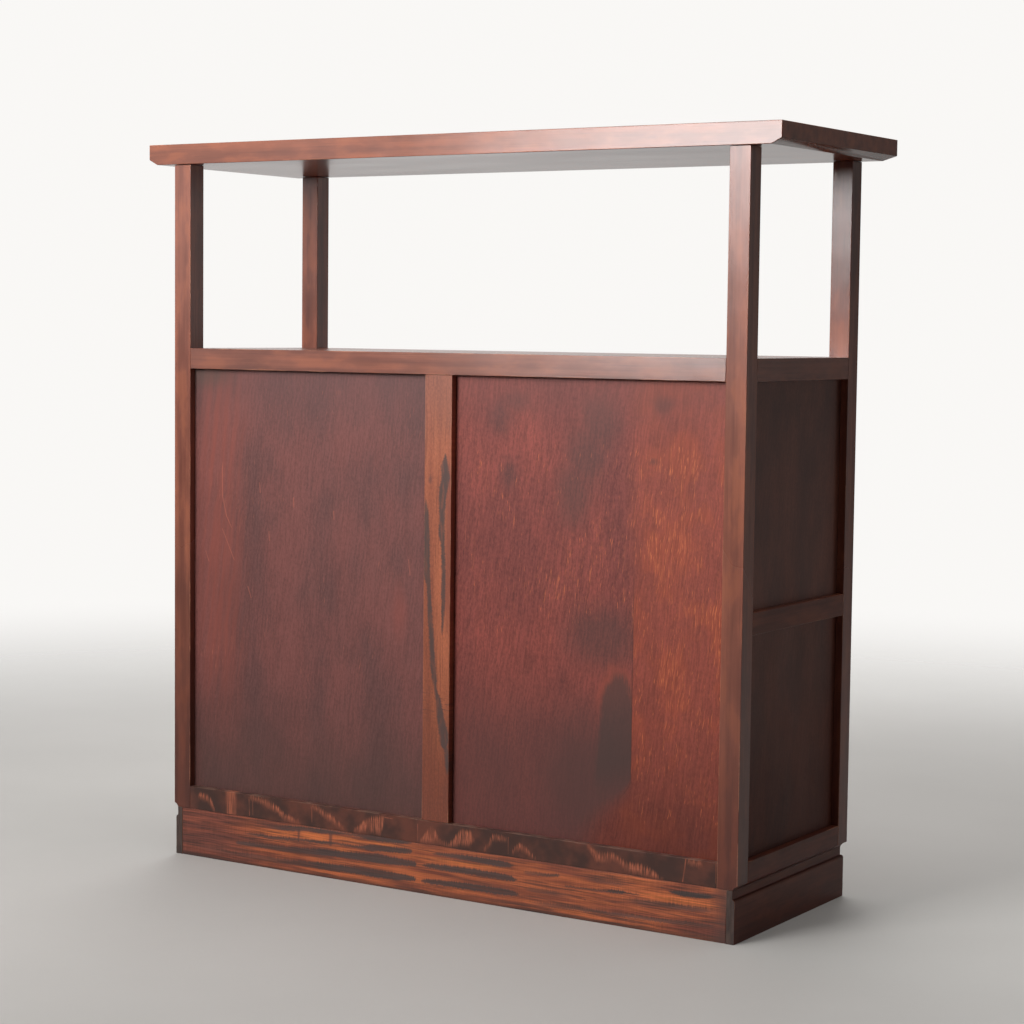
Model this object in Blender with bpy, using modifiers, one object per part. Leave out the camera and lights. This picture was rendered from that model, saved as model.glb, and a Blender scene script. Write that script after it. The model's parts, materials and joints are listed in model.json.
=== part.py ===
"""A display shelf: a two-door cabinet on a moulded plinth, and above it an open tier under a thick slab.

Metres, +Z up. The front faces -Y, and left and right are as seen from the front. The origin is on the floor
under the middle of the slab. Frame pieces meet in stub tenons, and panels float in grooves.
"""

import math

import bmesh
import bpy
from mathutils import Vector

# Overall sizes
CASE_WIDTH = 0.950  # over the outer faces of the posts
CASE_DEPTH = 0.338  # over the outer faces of the posts
OVERALL_HEIGHT = 1.060
CABINET_TOP = 0.7605  # upper faces of the rails round the display shelf
PLINTH_HEIGHT = 0.0715

# Top slab
SLAB_THICKNESS = 0.0295
SLAB_END_OVERHANG = 0.0455
SLAB_BACK_OVERHANG = 0.0045
SLAB_FRONT_OVERHANG = 0.0155
SLAB_CHAMFER_WIDTH = 0.015
SLAB_CHAMFER_HEIGHT = 0.0075

# Frame
POST_SIZE = 0.030
TOP_RAIL_HEIGHT = 0.030
MID_RAIL_HEIGHT = 0.030
BOTTOM_RAIL_HEIGHT = 0.0335
MID_RAIL_BOTTOM = 0.402  # floor to the lower face of the middle rails
MID_STILE_WIDTH = 0.045

# Panels in grooves
PANEL_THICKNESS = 0.004
PANEL_RECESS = 0.011  # from the outer faces of the posts
PANEL_LAP = 0.0065  # how far a panel reaches into its grooves

# Tenons
TENON_SETBACK = 0.006  # from a piece's outer face to its tenon
TENON_THICKNESS = 0.008
TENON_SHOULDER = 0.0015  # between a tenon and the panel groove beside it
TENON_ROOT = 0.003  # how deep a tenon's block starts inside its own piece
MORTISE_WALL = 0.004  # wood left between the two mortises that meet in a post
STILE_TENON_LENGTH = 0.012
POST_TENON_SIZE = 0.016  # at the top of a post, into the slab
POST_TENON_LENGTH = 0.012
FOOT_TENON_WALL = 0.0025  # wood round a post's foot tenon, in its corner block
FOOT_TENON_LENGTH = 0.015

# Boards with tongues
SHELF_THICKNESS = 0.015
FLOOR_THICKNESS = 0.012
TONGUE_LENGTH = 0.006
TONGUE_THICKNESS = 0.005
TONGUE_STOP = 0.002  # a tongue ends this far from its board's corners

# Plinth
PLINTH_THICKNESS = 0.0155  # of the moulded boards, from the case's outer face
PLINTH_REAR_THICKNESS = 0.015
PLINTH_INSET = 0.0035  # of the lower face, behind the case's outer face
MOULDING_DEPTH = 0.007  # of the hollow, behind the case's outer face
COVE_HEIGHT = 0.009
COVE_RISE = 0.0055  # of the cove above the plinth boards, cut into the posts and bottom rails
COVE_ROOM = 0.010  # how far the cove's cutter stands out from the wood
MOULDING_FLAT = 0.009  # upright part between the cove and the roll
ROLL_HEIGHT = 0.0045
MOULDING_STEPS = 5  # straight pieces in each curve of the moulding
CORNER_BLOCK_SIZE = 0.034
CORNER_BLOCK_LIFT = 0.003  # clear of the floor

# Doors
DOOR_THICKNESS = 0.022
DOOR_GAP = 0.002  # round each door
MEETING_GAP = 0.002  # between the doors
DOOR_STILE_WIDTH = 0.045
DOOR_RAIL_HEIGHT = 0.045
DOOR_PANEL_RECESS = 0.008
DOOR_TENON_LENGTH = 0.024
STOP_DEPTH = 0.010
STOP_HEIGHT = 0.014
STOP_GAP = 0.0005  # between a closed door and the stop batten

# Surface hinges
HINGE_LENGTH = 0.056
HINGE_FROM_END = 0.090  # door's end to the middle of a hinge
KNUCKLE_COUNT = 5
KNUCKLE_RADIUS = 0.0035
KNUCKLE_GAP = 0.0004
AXIS_PROUD = 0.0042  # hinge axis in front of the door's face
PIN_RADIUS = 0.0017
PIN_HEAD_HEIGHT = 0.0012
LEAF_THICKNESS = 0.0015
POST_LEAF_WIDTH = 0.022
DOOR_LEAF_WIDTH = 0.034
LEAF_CORNER = 0.006
LEAF_CORNER_STEPS = 5

# Ring pulls
PULL_HEIGHT = 0.455  # floor to the eye
PULL_PLATE_RADIUS = 0.0195
PULL_PLATE_RIM = 0.0012
PULL_PLATE_DOME = 0.0026  # thickness at the middle
EYE_RADIUS = 0.0046
EYE_WIDTH = 0.0045
EYE_PROUD = 0.0058  # bore of the eye in front of the plate's back
RING_RADIUS = 0.0165
RING_WIRE_RADIUS = 0.0018
RING_ROOM = 0.00045  # between the wire and the eye's bore

# Clearance between pieces that touch
FIT = 0.0003
WELD_DISTANCE = 0.00001  # points of a turned shape nearer than this become one

# Facets
ROUND_SEGMENTS = 20
PLATE_STEPS = 32
RING_SEGMENTS = 36
WIRE_SEGMENTS = 10
SHARP_ANGLE = math.radians(50)  # edges that turn further than this stay sharp

# Places worked out from the sizes
SLAB_DEPTH = CASE_DEPTH + SLAB_BACK_OVERHANG + SLAB_FRONT_OVERHANG
SLAB_UNDERSIDE = OVERALL_HEIGHT - SLAB_THICKNESS
SIDE = CASE_WIDTH / 2
BACK = SLAB_DEPTH / 2 - SLAB_BACK_OVERHANG
FRONT = BACK - CASE_DEPTH
SIDE_INNER = SIDE - POST_SIZE
BACK_INNER = BACK - POST_SIZE
FRONT_INNER = FRONT + POST_SIZE
TOP_RAIL_BOTTOM = CABINET_TOP - TOP_RAIL_HEIGHT
MID_RAIL_TOP = MID_RAIL_BOTTOM + MID_RAIL_HEIGHT
BOTTOM_RAIL_TOP = PLINTH_HEIGHT + BOTTOM_RAIL_HEIGHT
COVE_TOP = PLINTH_HEIGHT + COVE_RISE
COVE_BOTTOM = COVE_TOP - COVE_HEIGHT
RAIL_TENON_LENGTH = POST_SIZE - TENON_SETBACK - TENON_THICKNESS - MORTISE_WALL
HINGE_X = SIDE_INNER - DOOR_GAP / 2
HINGE_Y = FRONT - AXIS_PROUD

# The case's outer faces: the axis across each, its place on that axis and the way inside
LEFT = ("x", -SIDE, 1)
RIGHT = ("x", SIDE, -1)
REAR = ("y", BACK, -1)
FACE = ("y", FRONT, 1)

# Runs of the plinth moulding: the corner of the case where each starts, its turn and its length
MOULDED_RUNS = {
    "front": ((-SIDE, FRONT), 0, CASE_WIDTH),
    "left": ((-SIDE, BACK), -math.pi / 2, CASE_DEPTH),
    "right": ((SIDE, FRONT), math.pi / 2, CASE_DEPTH),
}

TOP_SPAN = (TOP_RAIL_BOTTOM, CABINET_TOP)
MID_SPAN = (MID_RAIL_BOTTOM, MID_RAIL_TOP)
BOTTOM_SPAN = (PLINTH_HEIGHT, BOTTOM_RAIL_TOP)
WIDTH_SPAN = (-SIDE_INNER + FIT, SIDE_INNER - FIT)
DEPTH_SPAN = (FRONT_INNER + FIT, BACK_INNER - FIT)


def clear_scene():
    for obj in list(bpy.data.objects):
        bpy.data.objects.remove(obj)


def new_collection(name):
    collection = bpy.data.collections.new(name)
    bpy.context.scene.collection.children.link(collection)
    return collection


def finish(name, colour, roughness, metallic=0.0):
    material = bpy.data.materials.new(name)
    material.use_nodes = True
    shader = material.node_tree.nodes["Principled BSDF"]
    shader.inputs["Base Color"].default_value = (*colour, 1.0)
    shader.inputs["Roughness"].default_value = roughness
    shader.inputs["Metallic"].default_value = metallic
    return material


clear_scene()
PARTS = new_collection("display_shelf")
CUTTERS = new_collection("cutters")
LACQUER = finish("red_brown_lacquer", (0.16, 0.055, 0.035), 0.3)
VENEER = finish("stained_veneer", (0.13, 0.035, 0.025), 0.4)
RAW_WOOD = finish("scraped_wood", (0.27, 0.085, 0.035), 0.55)
PLAIN_WOOD = finish("plain_inner_wood", (0.33, 0.19, 0.11), 0.7)
BRASS = finish("aged_brass", (0.45, 0.31, 0.13), 0.38, 1.0)


def box(x, y, z):
    """The lowest and highest corners of a box, from two places on each axis in either order."""
    spans = (x, y, z)
    return Vector([min(s) for s in spans]), Vector([max(s) for s in spans])


def grown(bounds, by):
    low, high = bounds
    margin = Vector((by, by, by))
    return low - margin, high + margin


def layer(face, start, depth):
    """Two places on a face's axis: where a layer starts inside the face and where it ends."""
    _, outer, inward = face
    return outer + inward * start, outer + inward * (start + depth)


def put(bm, name, collection, place, material=None, parent=None):
    """Makes an object of a bmesh, whose origin goes to this place in the world."""
    mesh = bpy.data.meshes.new(name)
    bmesh.ops.recalc_face_normals(bm, faces=bm.faces)
    bm.to_mesh(mesh)
    bm.free()
    obj = bpy.data.objects.new(name, mesh)
    collection.objects.link(obj)
    obj.location = place
    settle(obj, material, parent)
    return obj


def settle(obj, material, parent):
    """Gives an object its finish and its parent empty, and keeps its place in the world."""
    if material:
        obj.data.materials.append(material)
    if parent:
        obj.location = Vector(obj.location) - world_place(parent)
        obj.parent = parent


def world_place(empty):
    place = Vector(empty.location)
    return place + world_place(empty.parent) if empty.parent else place


def block(name, bounds, collection, material=None, parent=None):
    low, high = bounds
    bm = bmesh.new()
    bmesh.ops.create_cube(bm, size=1.0)
    bmesh.ops.scale(bm, vec=high - low, verts=bm.verts)
    return put(bm, name, collection, (low + high) / 2, material, parent)


def part(name, bounds, material, parent=None):
    return block(name, bounds, PARTS, material, parent)


def smooth(obj):
    """Shades round faces smooth and keeps real corners sharp."""
    obj.data.shade_smooth()
    obj.data.set_sharp_from_angle(angle=SHARP_ANGLE)
    return obj


def helper(obj):
    """Keeps a shape that cuts or joins another out of the finished model."""
    obj.hide_render = True
    obj.display_type = "WIRE"
    return obj


def tool(name, bounds):
    return helper(block(name, bounds, CUTTERS))


def rod(name, radius, length, centre, axis):
    """A helper cylinder along X or Z."""
    bm = bmesh.new()
    bmesh.ops.create_cone(
        bm, cap_ends=True, segments=ROUND_SEGMENTS, radius1=radius, radius2=radius, depth=length
    )
    obj = smooth(helper(put(bm, name, CUTTERS, centre)))
    if axis == "x":
        obj.rotation_euler.y = math.pi / 2
    return obj


def boolean(obj, operation, other):
    modifier = obj.modifiers.new(other.name, "BOOLEAN")
    modifier.operation = operation
    modifier.solver = "EXACT"
    modifier.object = other


def add(obj, other):
    boolean(obj, "UNION", other)


def cut(obj, other):
    boolean(obj, "DIFFERENCE", other)


def tenon(piece, mortised, bounds, label):
    """Adds a tenon to one piece and cuts its mortise, a clearance larger, into the other."""
    add(piece, tool(f"{piece.name}_{label}_tenon", bounds))
    cut(mortised, tool(f"{piece.name}_{label}_mortise", grown(bounds, FIT)))


def member(name, run, along, face, depth, wide, ends, tenon_length, material, parent=None):
    """A straight frame piece that runs along one axis between two others, with a tenon into each of them.

    Its outer side lies in the given face, and wide is its extent on the third axis.
    """
    across = face[0]
    third = next(axis for axis in "xyz" if axis not in (run, across))
    piece = part(name, box(**{run: along, across: layer(face, 0, depth), third: wide}), material, parent)
    shoulder = PANEL_LAP + TENON_SHOULDER
    cheeks = (min(wide) + shoulder, max(wide) - shoulder)
    thickness = layer(face, TENON_SETBACK, TENON_THICKNESS)
    middle = sum(along) / 2
    for label, at, other in zip(("first", "second"), along, ends):
        out = math.copysign(1, at - middle)
        length = (at - out * TENON_ROOT, at + out * tenon_length)
        tenon(piece, other, box(**{run: length, across: thickness, third: cheeks}), label)
    return piece


def panel(name, face, recess, run, along, up, members, material, parent=None):
    """A panel that fills an opening and laps into grooves in the members round it."""
    lapped_along = (min(along) - PANEL_LAP, max(along) + PANEL_LAP)
    lapped_up = (min(up) - PANEL_LAP, max(up) + PANEL_LAP)
    bounds = box(**{face[0]: layer(face, recess, PANEL_THICKNESS), run: lapped_along, "z": lapped_up})
    groove = tool(f"{name}_groove", grown(bounds, FIT))
    for piece in members:
        cut(piece, groove)
    return part(name, bounds, material, parent)


def tongue(board, label, bounds, rails):
    add(board, tool(f"{board.name}_{label}_tongue", bounds))
    groove = tool(f"{board.name}_{label}_groove", grown(bounds, FIT))
    for rail in rails:
        cut(rail, groove)


def board(name, top, thickness, side_rails, long_rails, material):
    """A level board inside the frame, with tongues in the side rails and, where given, the long rails."""
    bounds = box(WIDTH_SPAN, DEPTH_SPAN, (top - thickness, top))
    piece = part(name, bounds, material)
    low, high = bounds
    middle = top - thickness / 2
    up = (middle - TONGUE_THICKNESS / 2, middle + TONGUE_THICKNESS / 2)
    reach = FIT + TONGUE_LENGTH
    depth = (low.y + TONGUE_STOP, high.y - TONGUE_STOP)
    tongue(piece, "side", box((low.x - reach, high.x + reach), depth, up), side_rails)
    if long_rails:
        width = (low.x + TONGUE_STOP, high.x - TONGUE_STOP)
        tongue(piece, "long", box(width, (low.y - reach, high.y + reach), up), long_rails)
    return piece


def top_slab():
    """A thick board with a plain back. Its ends and front edge have a mitred chamfer underneath."""
    bm = bmesh.new()
    bmesh.ops.create_cube(bm, size=1.0)
    size = Vector((CASE_WIDTH + 2 * SLAB_END_OVERHANG, SLAB_DEPTH, SLAB_THICKNESS))
    bmesh.ops.scale(bm, vec=size, verts=bm.verts)
    geometry = bm.verts[:] + bm.edges[:] + bm.faces[:]
    chamfer_top = Vector((0, 0, SLAB_CHAMFER_HEIGHT - SLAB_THICKNESS / 2))
    bmesh.ops.bisect_plane(bm, geom=geometry, plane_co=chamfer_top, plane_no=(0, 0, 1))
    for vert in bm.verts:
        if vert.co.z < chamfer_top.z - FIT:
            vert.co.x -= math.copysign(SLAB_CHAMFER_WIDTH, vert.co.x)
            vert.co.y += SLAB_CHAMFER_WIDTH if vert.co.y < 0 else 0
    return put(bm, "top_slab", PARTS, Vector((0, 0, SLAB_UNDERSIDE + SLAB_THICKNESS / 2)), LACQUER)


def cove(first, last):
    """Points of the moulding's hollow between two turns: distance in from the case's face, and height."""
    turns = [first + i * (last - first) / MOULDING_STEPS for i in range(MOULDING_STEPS + 1)]
    return [(MOULDING_DEPTH * math.sin(t), COVE_BOTTOM + COVE_HEIGHT * math.cos(t)) for t in turns]


def moulding_profile():
    """Outline of a plinth board: distance in from the case's face, and height."""
    top = PLINTH_HEIGHT - FIT
    roll_top = COVE_BOTTOM - MOULDING_FLAT
    roll_bottom = roll_top - ROLL_HEIGHT
    roll_depth = MOULDING_DEPTH - PLINTH_INSET
    turns = [i * math.pi / 2 / MOULDING_STEPS for i in range(MOULDING_STEPS + 1)]
    roll = [
        (MOULDING_DEPTH - roll_depth * math.sin(t), roll_bottom + ROLL_HEIGHT * math.cos(t)) for t in turns
    ]
    hollow = cove(math.acos((top - COVE_BOTTOM) / COVE_HEIGHT), math.pi / 2)
    return hollow + roll + [(PLINTH_INSET, 0), (PLINTH_THICKNESS, 0), (PLINTH_THICKNESS, top)]


def swept(outline, start, end):
    """A bmesh of an outline of insets and heights that runs along X, with the points of its two ends."""
    bm = bmesh.new()
    near = [bm.verts.new((start, inset, height)) for inset, height in outline]
    made = bmesh.ops.extrude_face_region(bm, geom=[bm.faces.new(near)])
    far = [item for item in made["geom"] if isinstance(item, bmesh.types.BMVert)]
    bmesh.ops.translate(bm, verts=far, vec=(end - start, 0, 0))
    return bm, near, far


def moulded_board(run, mitre_start, mitre_end):
    """A moulded plinth board that runs from a corner of the case, with its ends mitred where asked."""
    corner, turn, length = MOULDED_RUNS[run]
    bm, near, far = swept(moulding_profile(), 0, length)
    for vert in near:
        vert.co.x += FIT + vert.co.y if mitre_start else 0
    for vert in far:
        vert.co.x -= FIT + vert.co.y if mitre_end else 0
    obj = smooth(put(bm, f"plinth_{run}", PARTS, Vector((*corner, 0)), LACQUER))
    obj.rotation_euler.z = turn


def cut_cove(run, pieces):
    """Cuts the upper part of the hollow into the lower outer edge of the posts and the rail over a board."""
    corner, turn, length = MOULDED_RUNS[run]
    outline = cove(0, math.pi / 2) + [(-COVE_ROOM, COVE_BOTTOM), (-COVE_ROOM, COVE_TOP)]
    bm, _, _ = swept(outline, -COVE_ROOM, length + COVE_ROOM)
    cutter = helper(put(bm, f"cove_{run}", CUTTERS, Vector((*corner, 0))))
    cutter.rotation_euler.z = turn
    for piece in pieces:
        cut(piece, cutter)


def plinth():
    """Moulded boards at the front and sides, a plain one let in at the rear, and a block in each corner."""
    moulded_board("front", True, True)
    moulded_board("left", False, True)
    moulded_board("right", True, False)
    reach = SIDE - PLINTH_THICKNESS - FIT
    top = PLINTH_HEIGHT - FIT
    part("plinth_rear", box((-reach, reach), layer(REAR, 0, PLINTH_REAR_THICKNESS), (0, top)), RAW_WOOD)
    blocks = {}
    for end, face, behind in (("front", FACE, PLINTH_THICKNESS), ("rear", REAR, PLINTH_REAR_THICKNESS)):
        for hand, side in (("left", LEFT), ("right", RIGHT)):
            width = layer(side, PLINTH_THICKNESS + FIT, CORNER_BLOCK_SIZE)
            depth = layer(face, behind + FIT, CORNER_BLOCK_SIZE)
            name = f"plinth_block_{end}_{hand}"
            blocks[end, hand] = part(name, box(width, depth, (CORNER_BLOCK_LIFT, top)), PLAIN_WOOD)
    return blocks


def posts(slab, blocks):
    """Four square posts, each tenoned into the slab above it and into its corner block below."""
    made = {}
    inset = (POST_SIZE - POST_TENON_SIZE) / 2
    for end, face, behind in (("front", FACE, PLINTH_THICKNESS), ("rear", REAR, PLINTH_REAR_THICKNESS)):
        for hand, side in (("left", LEFT), ("right", RIGHT)):
            top = SLAB_UNDERSIDE - FIT
            bounds = box(layer(side, 0, POST_SIZE), layer(face, 0, POST_SIZE), (PLINTH_HEIGHT, top))
            post = part(f"post_{end}_{hand}", bounds, LACQUER)
            head = (top - TENON_ROOT, top + POST_TENON_LENGTH)
            square = (layer(side, inset, POST_TENON_SIZE), layer(face, inset, POST_TENON_SIZE))
            tenon(post, slab, box(*square, head), "head")
            foot = (PLINTH_HEIGHT - FOOT_TENON_LENGTH, PLINTH_HEIGHT + TENON_ROOT)
            seat = [
                layer(at, board_depth + FIT + FOOT_TENON_WALL,
                      POST_SIZE - board_depth - FIT - 2 * FOOT_TENON_WALL)
                for at, board_depth in ((side, PLINTH_THICKNESS), (face, behind))
            ]
            tenon(post, blocks[end, hand], box(*seat, foot), "foot")
            made[end, hand] = post
    return made


def long_rail(name, face, up, ends):
    return member(name, "x", WIDTH_SPAN, face, POST_SIZE, up, ends, RAIL_TENON_LENGTH, LACQUER)


def side_rail(name, face, up, ends):
    return member(name, "y", DEPTH_SPAN, face, POST_SIZE, up, ends, RAIL_TENON_LENGTH, LACQUER)


def case_side(hand, face, post):
    """Three rails between a front and a rear post, with two panels set back between them."""
    ends = (post["front", hand], post["rear", hand])
    top = side_rail(f"{hand}_top_rail", face, TOP_SPAN, ends)
    middle = side_rail(f"{hand}_mid_rail", face, MID_SPAN, ends)
    bottom = side_rail(f"{hand}_bottom_rail", face, BOTTOM_SPAN, ends)
    opening = (FRONT_INNER, BACK_INNER)
    upper = (MID_RAIL_TOP, TOP_RAIL_BOTTOM)
    lower = (BOTTOM_RAIL_TOP, MID_RAIL_BOTTOM)
    panel(f"{hand}_upper_panel", face, PANEL_RECESS, "y", opening, upper, (*ends, top, middle), VENEER)
    panel(f"{hand}_lower_panel", face, PANEL_RECESS, "y", opening, lower, (*ends, middle, bottom), VENEER)
    return top, middle, bottom


def case_rear(post):
    """Two rails with a stile between them, and a tall panel on each side of the stile."""
    ends = (post["rear", "left"], post["rear", "right"])
    top = long_rail("rear_top_rail", REAR, TOP_SPAN, ends)
    bottom = long_rail("rear_bottom_rail", REAR, BOTTOM_SPAN, ends)
    half = MID_STILE_WIDTH / 2
    height = (BOTTOM_RAIL_TOP + FIT, TOP_RAIL_BOTTOM - FIT)
    width = (-half, half)
    rails = (bottom, top)
    stile = member(
        "rear_mid_stile", "z", height, REAR, POST_SIZE, width, rails, STILE_TENON_LENGTH, LACQUER
    )
    opening = (BOTTOM_RAIL_TOP, TOP_RAIL_BOTTOM)
    for hand, post_beside, sign in (("left", ends[0], -1), ("right", ends[1], 1)):
        along = (sign * half, sign * SIDE_INNER)
        members = (post_beside, stile, *rails)
        panel(f"rear_panel_{hand}", REAR, PANEL_RECESS, "x", along, opening, members, VENEER)
    return top, bottom


def case_front(post):
    """The rails over and under the doors, and the batten that the doors close against."""
    ends = (post["front", "left"], post["front", "right"])
    top = long_rail("front_top_rail", FACE, TOP_SPAN, ends)
    bottom = long_rail("front_bottom_rail", FACE, BOTTOM_SPAN, ends)
    under = TOP_RAIL_BOTTOM - FIT
    depth = layer(FACE, DOOR_THICKNESS + STOP_GAP, STOP_DEPTH)
    part("door_stop", box(WIDTH_SPAN, depth, (under - STOP_HEIGHT, under)), PLAIN_WOOD)
    return top, bottom


def empty(name, place, parent=None):
    obj = bpy.data.objects.new(name, None)
    PARTS.objects.link(obj)
    obj.location = place
    settle(obj, None, parent)
    return obj


def door(hand, sign):
    """A frame of two stiles and three rails with two panels, all carried by an empty on the hinge axis."""
    low = BOTTOM_RAIL_TOP + DOOR_GAP
    high = TOP_RAIL_BOTTOM - DOOR_GAP
    axis = empty(f"door_{hand}_axis", Vector((sign * HINGE_X, HINGE_Y, low)))
    hinge_edge = SIDE_INNER - DOOR_GAP
    meeting_edge = MEETING_GAP / 2
    inner = (hinge_edge - DOOR_STILE_WIDTH, meeting_edge + DOOR_STILE_WIDTH)
    depth = layer(FACE, 0, DOOR_THICKNESS)
    stiles = []
    for label, edge, inside in (("hinge", hinge_edge, inner[0]), ("meeting", meeting_edge, inner[1])):
        bounds = box((sign * edge, sign * inside), depth, (low, high))
        stiles.append(part(f"door_{hand}_{label}_stile", bounds, LACQUER, axis))
    spans = {
        "top": (high - DOOR_RAIL_HEIGHT, high),
        "mid": MID_SPAN,
        "bottom": (low, low + DOOR_RAIL_HEIGHT),
    }
    along = (sign * (inner[0] - FIT), sign * (inner[1] + FIT))
    rails = {
        label: member(
            f"door_{hand}_{label}_rail", "x", along, FACE, DOOR_THICKNESS, up, stiles, DOOR_TENON_LENGTH,
            LACQUER, axis,
        )
        for label, up in spans.items()
    }
    opening = (sign * inner[0], sign * inner[1])
    for label, above, below in (("upper", "top", "mid"), ("lower", "mid", "bottom")):
        up = (spans[below][1], spans[above][0])
        members = (*stiles, rails[above], rails[below])
        name = f"door_{hand}_{label}_panel"
        panel(name, FACE, DOOR_PANEL_RECESS, "x", opening, up, members, VENEER, axis)
    for label, middle in (("upper", high - HINGE_FROM_END), ("lower", low + HINGE_FROM_END)):
        hinge(f"hinge_{hand}_{label}", sign, middle, axis)
    ring_pull(hand, sign * (meeting_edge + DOOR_STILE_WIDTH / 2), axis)


def knuckle_span(index, bottom):
    pitch = HINGE_LENGTH / KNUCKLE_COUNT
    return bottom + index * pitch + KNUCKLE_GAP / 2, bottom + (index + 1) * pitch - KNUCKLE_GAP / 2


def leaf(name, edge, outer_edge, middle, parent):
    """A flat hinge leaf from the barrel to its rounded outer corners, lying on the wood."""
    low, high = box(
        (edge, outer_edge),
        (FRONT - FIT - LEAF_THICKNESS, FRONT - FIT),
        (middle - HINGE_LENGTH / 2, middle + HINGE_LENGTH / 2),
    )
    bm = bmesh.new()
    bmesh.ops.create_cube(bm, size=1.0)
    bmesh.ops.scale(bm, vec=high - low, verts=bm.verts)
    out = math.copysign(1, outer_edge - edge)
    outer_edges = [e for e in bm.edges if all(v.co.x * out > 0 for v in e.verts)]
    corners = [e for e in outer_edges if abs(e.verts[0].co.y - e.verts[1].co.y) > LEAF_THICKNESS / 2]
    bmesh.ops.bevel(
        bm, geom=corners, offset=LEAF_CORNER, segments=LEAF_CORNER_STEPS, profile=0.5, affect="EDGES",
        material=-1,
    )
    return smooth(put(bm, name, PARTS, (low + high) / 2, BRASS, parent))


def hinge(name, sign, middle, axis):
    """Two leaves with interleaved knuckles. The pin is riveted in the post's leaf."""
    bottom = middle - HINGE_LENGTH / 2
    barrel_x = sign * HINGE_X
    post_leaf = leaf(f"{name}_post_leaf", barrel_x, sign * (SIDE_INNER + POST_LEAF_WIDTH), middle, None)
    door_leaf = leaf(
        f"{name}_door_leaf", barrel_x, sign * (SIDE_INNER - DOOR_GAP - DOOR_LEAF_WIDTH), middle, axis
    )
    room = KNUCKLE_RADIUS + 2 * KNUCKLE_GAP
    leaves = (post_leaf, door_leaf)
    for index in range(KNUCKLE_COUNT):
        low, high = knuckle_span(index, bottom)
        away = (low - 2 * KNUCKLE_GAP, high + 2 * KNUCKLE_GAP)
        width = (barrel_x - room, barrel_x + room)
        notch = tool(f"{name}_notch_{index}", box(width, (HINGE_Y - room, FRONT), away))
        cut(leaves[(index + 1) % 2], notch)
    for index in range(KNUCKLE_COUNT):
        low, high = knuckle_span(index, bottom)
        centre = Vector((barrel_x, HINGE_Y, (low + high) / 2))
        add(leaves[index % 2], rod(f"{name}_knuckle_{index}", KNUCKLE_RADIUS, high - low, centre, "z"))
    centre = Vector((barrel_x, HINGE_Y, middle))
    pin_length = HINGE_LENGTH + 2 * PIN_HEAD_HEIGHT
    add(post_leaf, rod(f"{name}_pin", PIN_RADIUS, pin_length, centre, "z"))
    cut(door_leaf, rod(f"{name}_bore", PIN_RADIUS + FIT, 2 * HINGE_LENGTH, centre, "z"))


def pull_plate(name, centre, parent):
    """A round plate, slightly domed, turned about the axis that stands out from the door."""
    bm = bmesh.new()
    outline = [
        (0, PULL_PLATE_DOME),
        (PULL_PLATE_RADIUS / 2, (3 * PULL_PLATE_DOME + PULL_PLATE_RIM) / 4),
        (PULL_PLATE_RADIUS, PULL_PLATE_RIM),
        (PULL_PLATE_RADIUS, 0),
        (0, 0),
    ]
    verts = [bm.verts.new((radius, 0, height)) for radius, height in outline]
    for first, second in zip(verts, verts[1:]):
        bm.edges.new((first, second))
    plate = put(bm, name, PARTS, centre, BRASS, parent)
    plate.rotation_euler.x = math.pi / 2
    turn = plate.modifiers.new("turned", "SCREW")
    turn.axis = "Z"
    turn.steps = PLATE_STEPS
    turn.render_steps = PLATE_STEPS
    turn.use_merge_vertices = True
    turn.merge_threshold = WELD_DISTANCE
    return plate


def ring_pull(hand, x, axis):
    """A plate with an eye on the meeting stile, and a ring that hangs in the eye and turns in it."""
    back = FRONT - FIT
    eye = Vector((x, back - EYE_PROUD, PULL_HEIGHT))
    plate = pull_plate(f"pull_plate_{hand}", Vector((x, back, PULL_HEIGHT)), axis)
    neck = box(
        (x - EYE_WIDTH / 2, x + EYE_WIDTH / 2),
        (back - PULL_PLATE_RIM / 2, eye.y),
        (PULL_HEIGHT - EYE_RADIUS, PULL_HEIGHT + EYE_RADIUS),
    )
    head = rod(f"pull_eye_{hand}", EYE_RADIUS, EYE_WIDTH, eye, "x")
    add(head, tool(f"pull_neck_{hand}", neck))
    add(plate, head)
    cut(plate, rod(f"pull_bore_{hand}", RING_WIRE_RADIUS + RING_ROOM, 4 * EYE_WIDTH, eye, "x"))
    turning = empty(f"pull_ring_{hand}_axis", eye, axis)
    bpy.ops.mesh.primitive_torus_add(
        major_radius=RING_RADIUS,
        minor_radius=RING_WIRE_RADIUS,
        major_segments=RING_SEGMENTS,
        minor_segments=WIRE_SEGMENTS,
        location=eye - Vector((0, 0, RING_RADIUS)),
        rotation=(math.pi / 2, 0, 0),
    )
    ring = bpy.context.object
    ring.name = f"pull_ring_{hand}"
    for collection in list(ring.users_collection):
        collection.objects.unlink(ring)
    PARTS.objects.link(ring)
    settle(smooth(ring), BRASS, turning)


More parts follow.
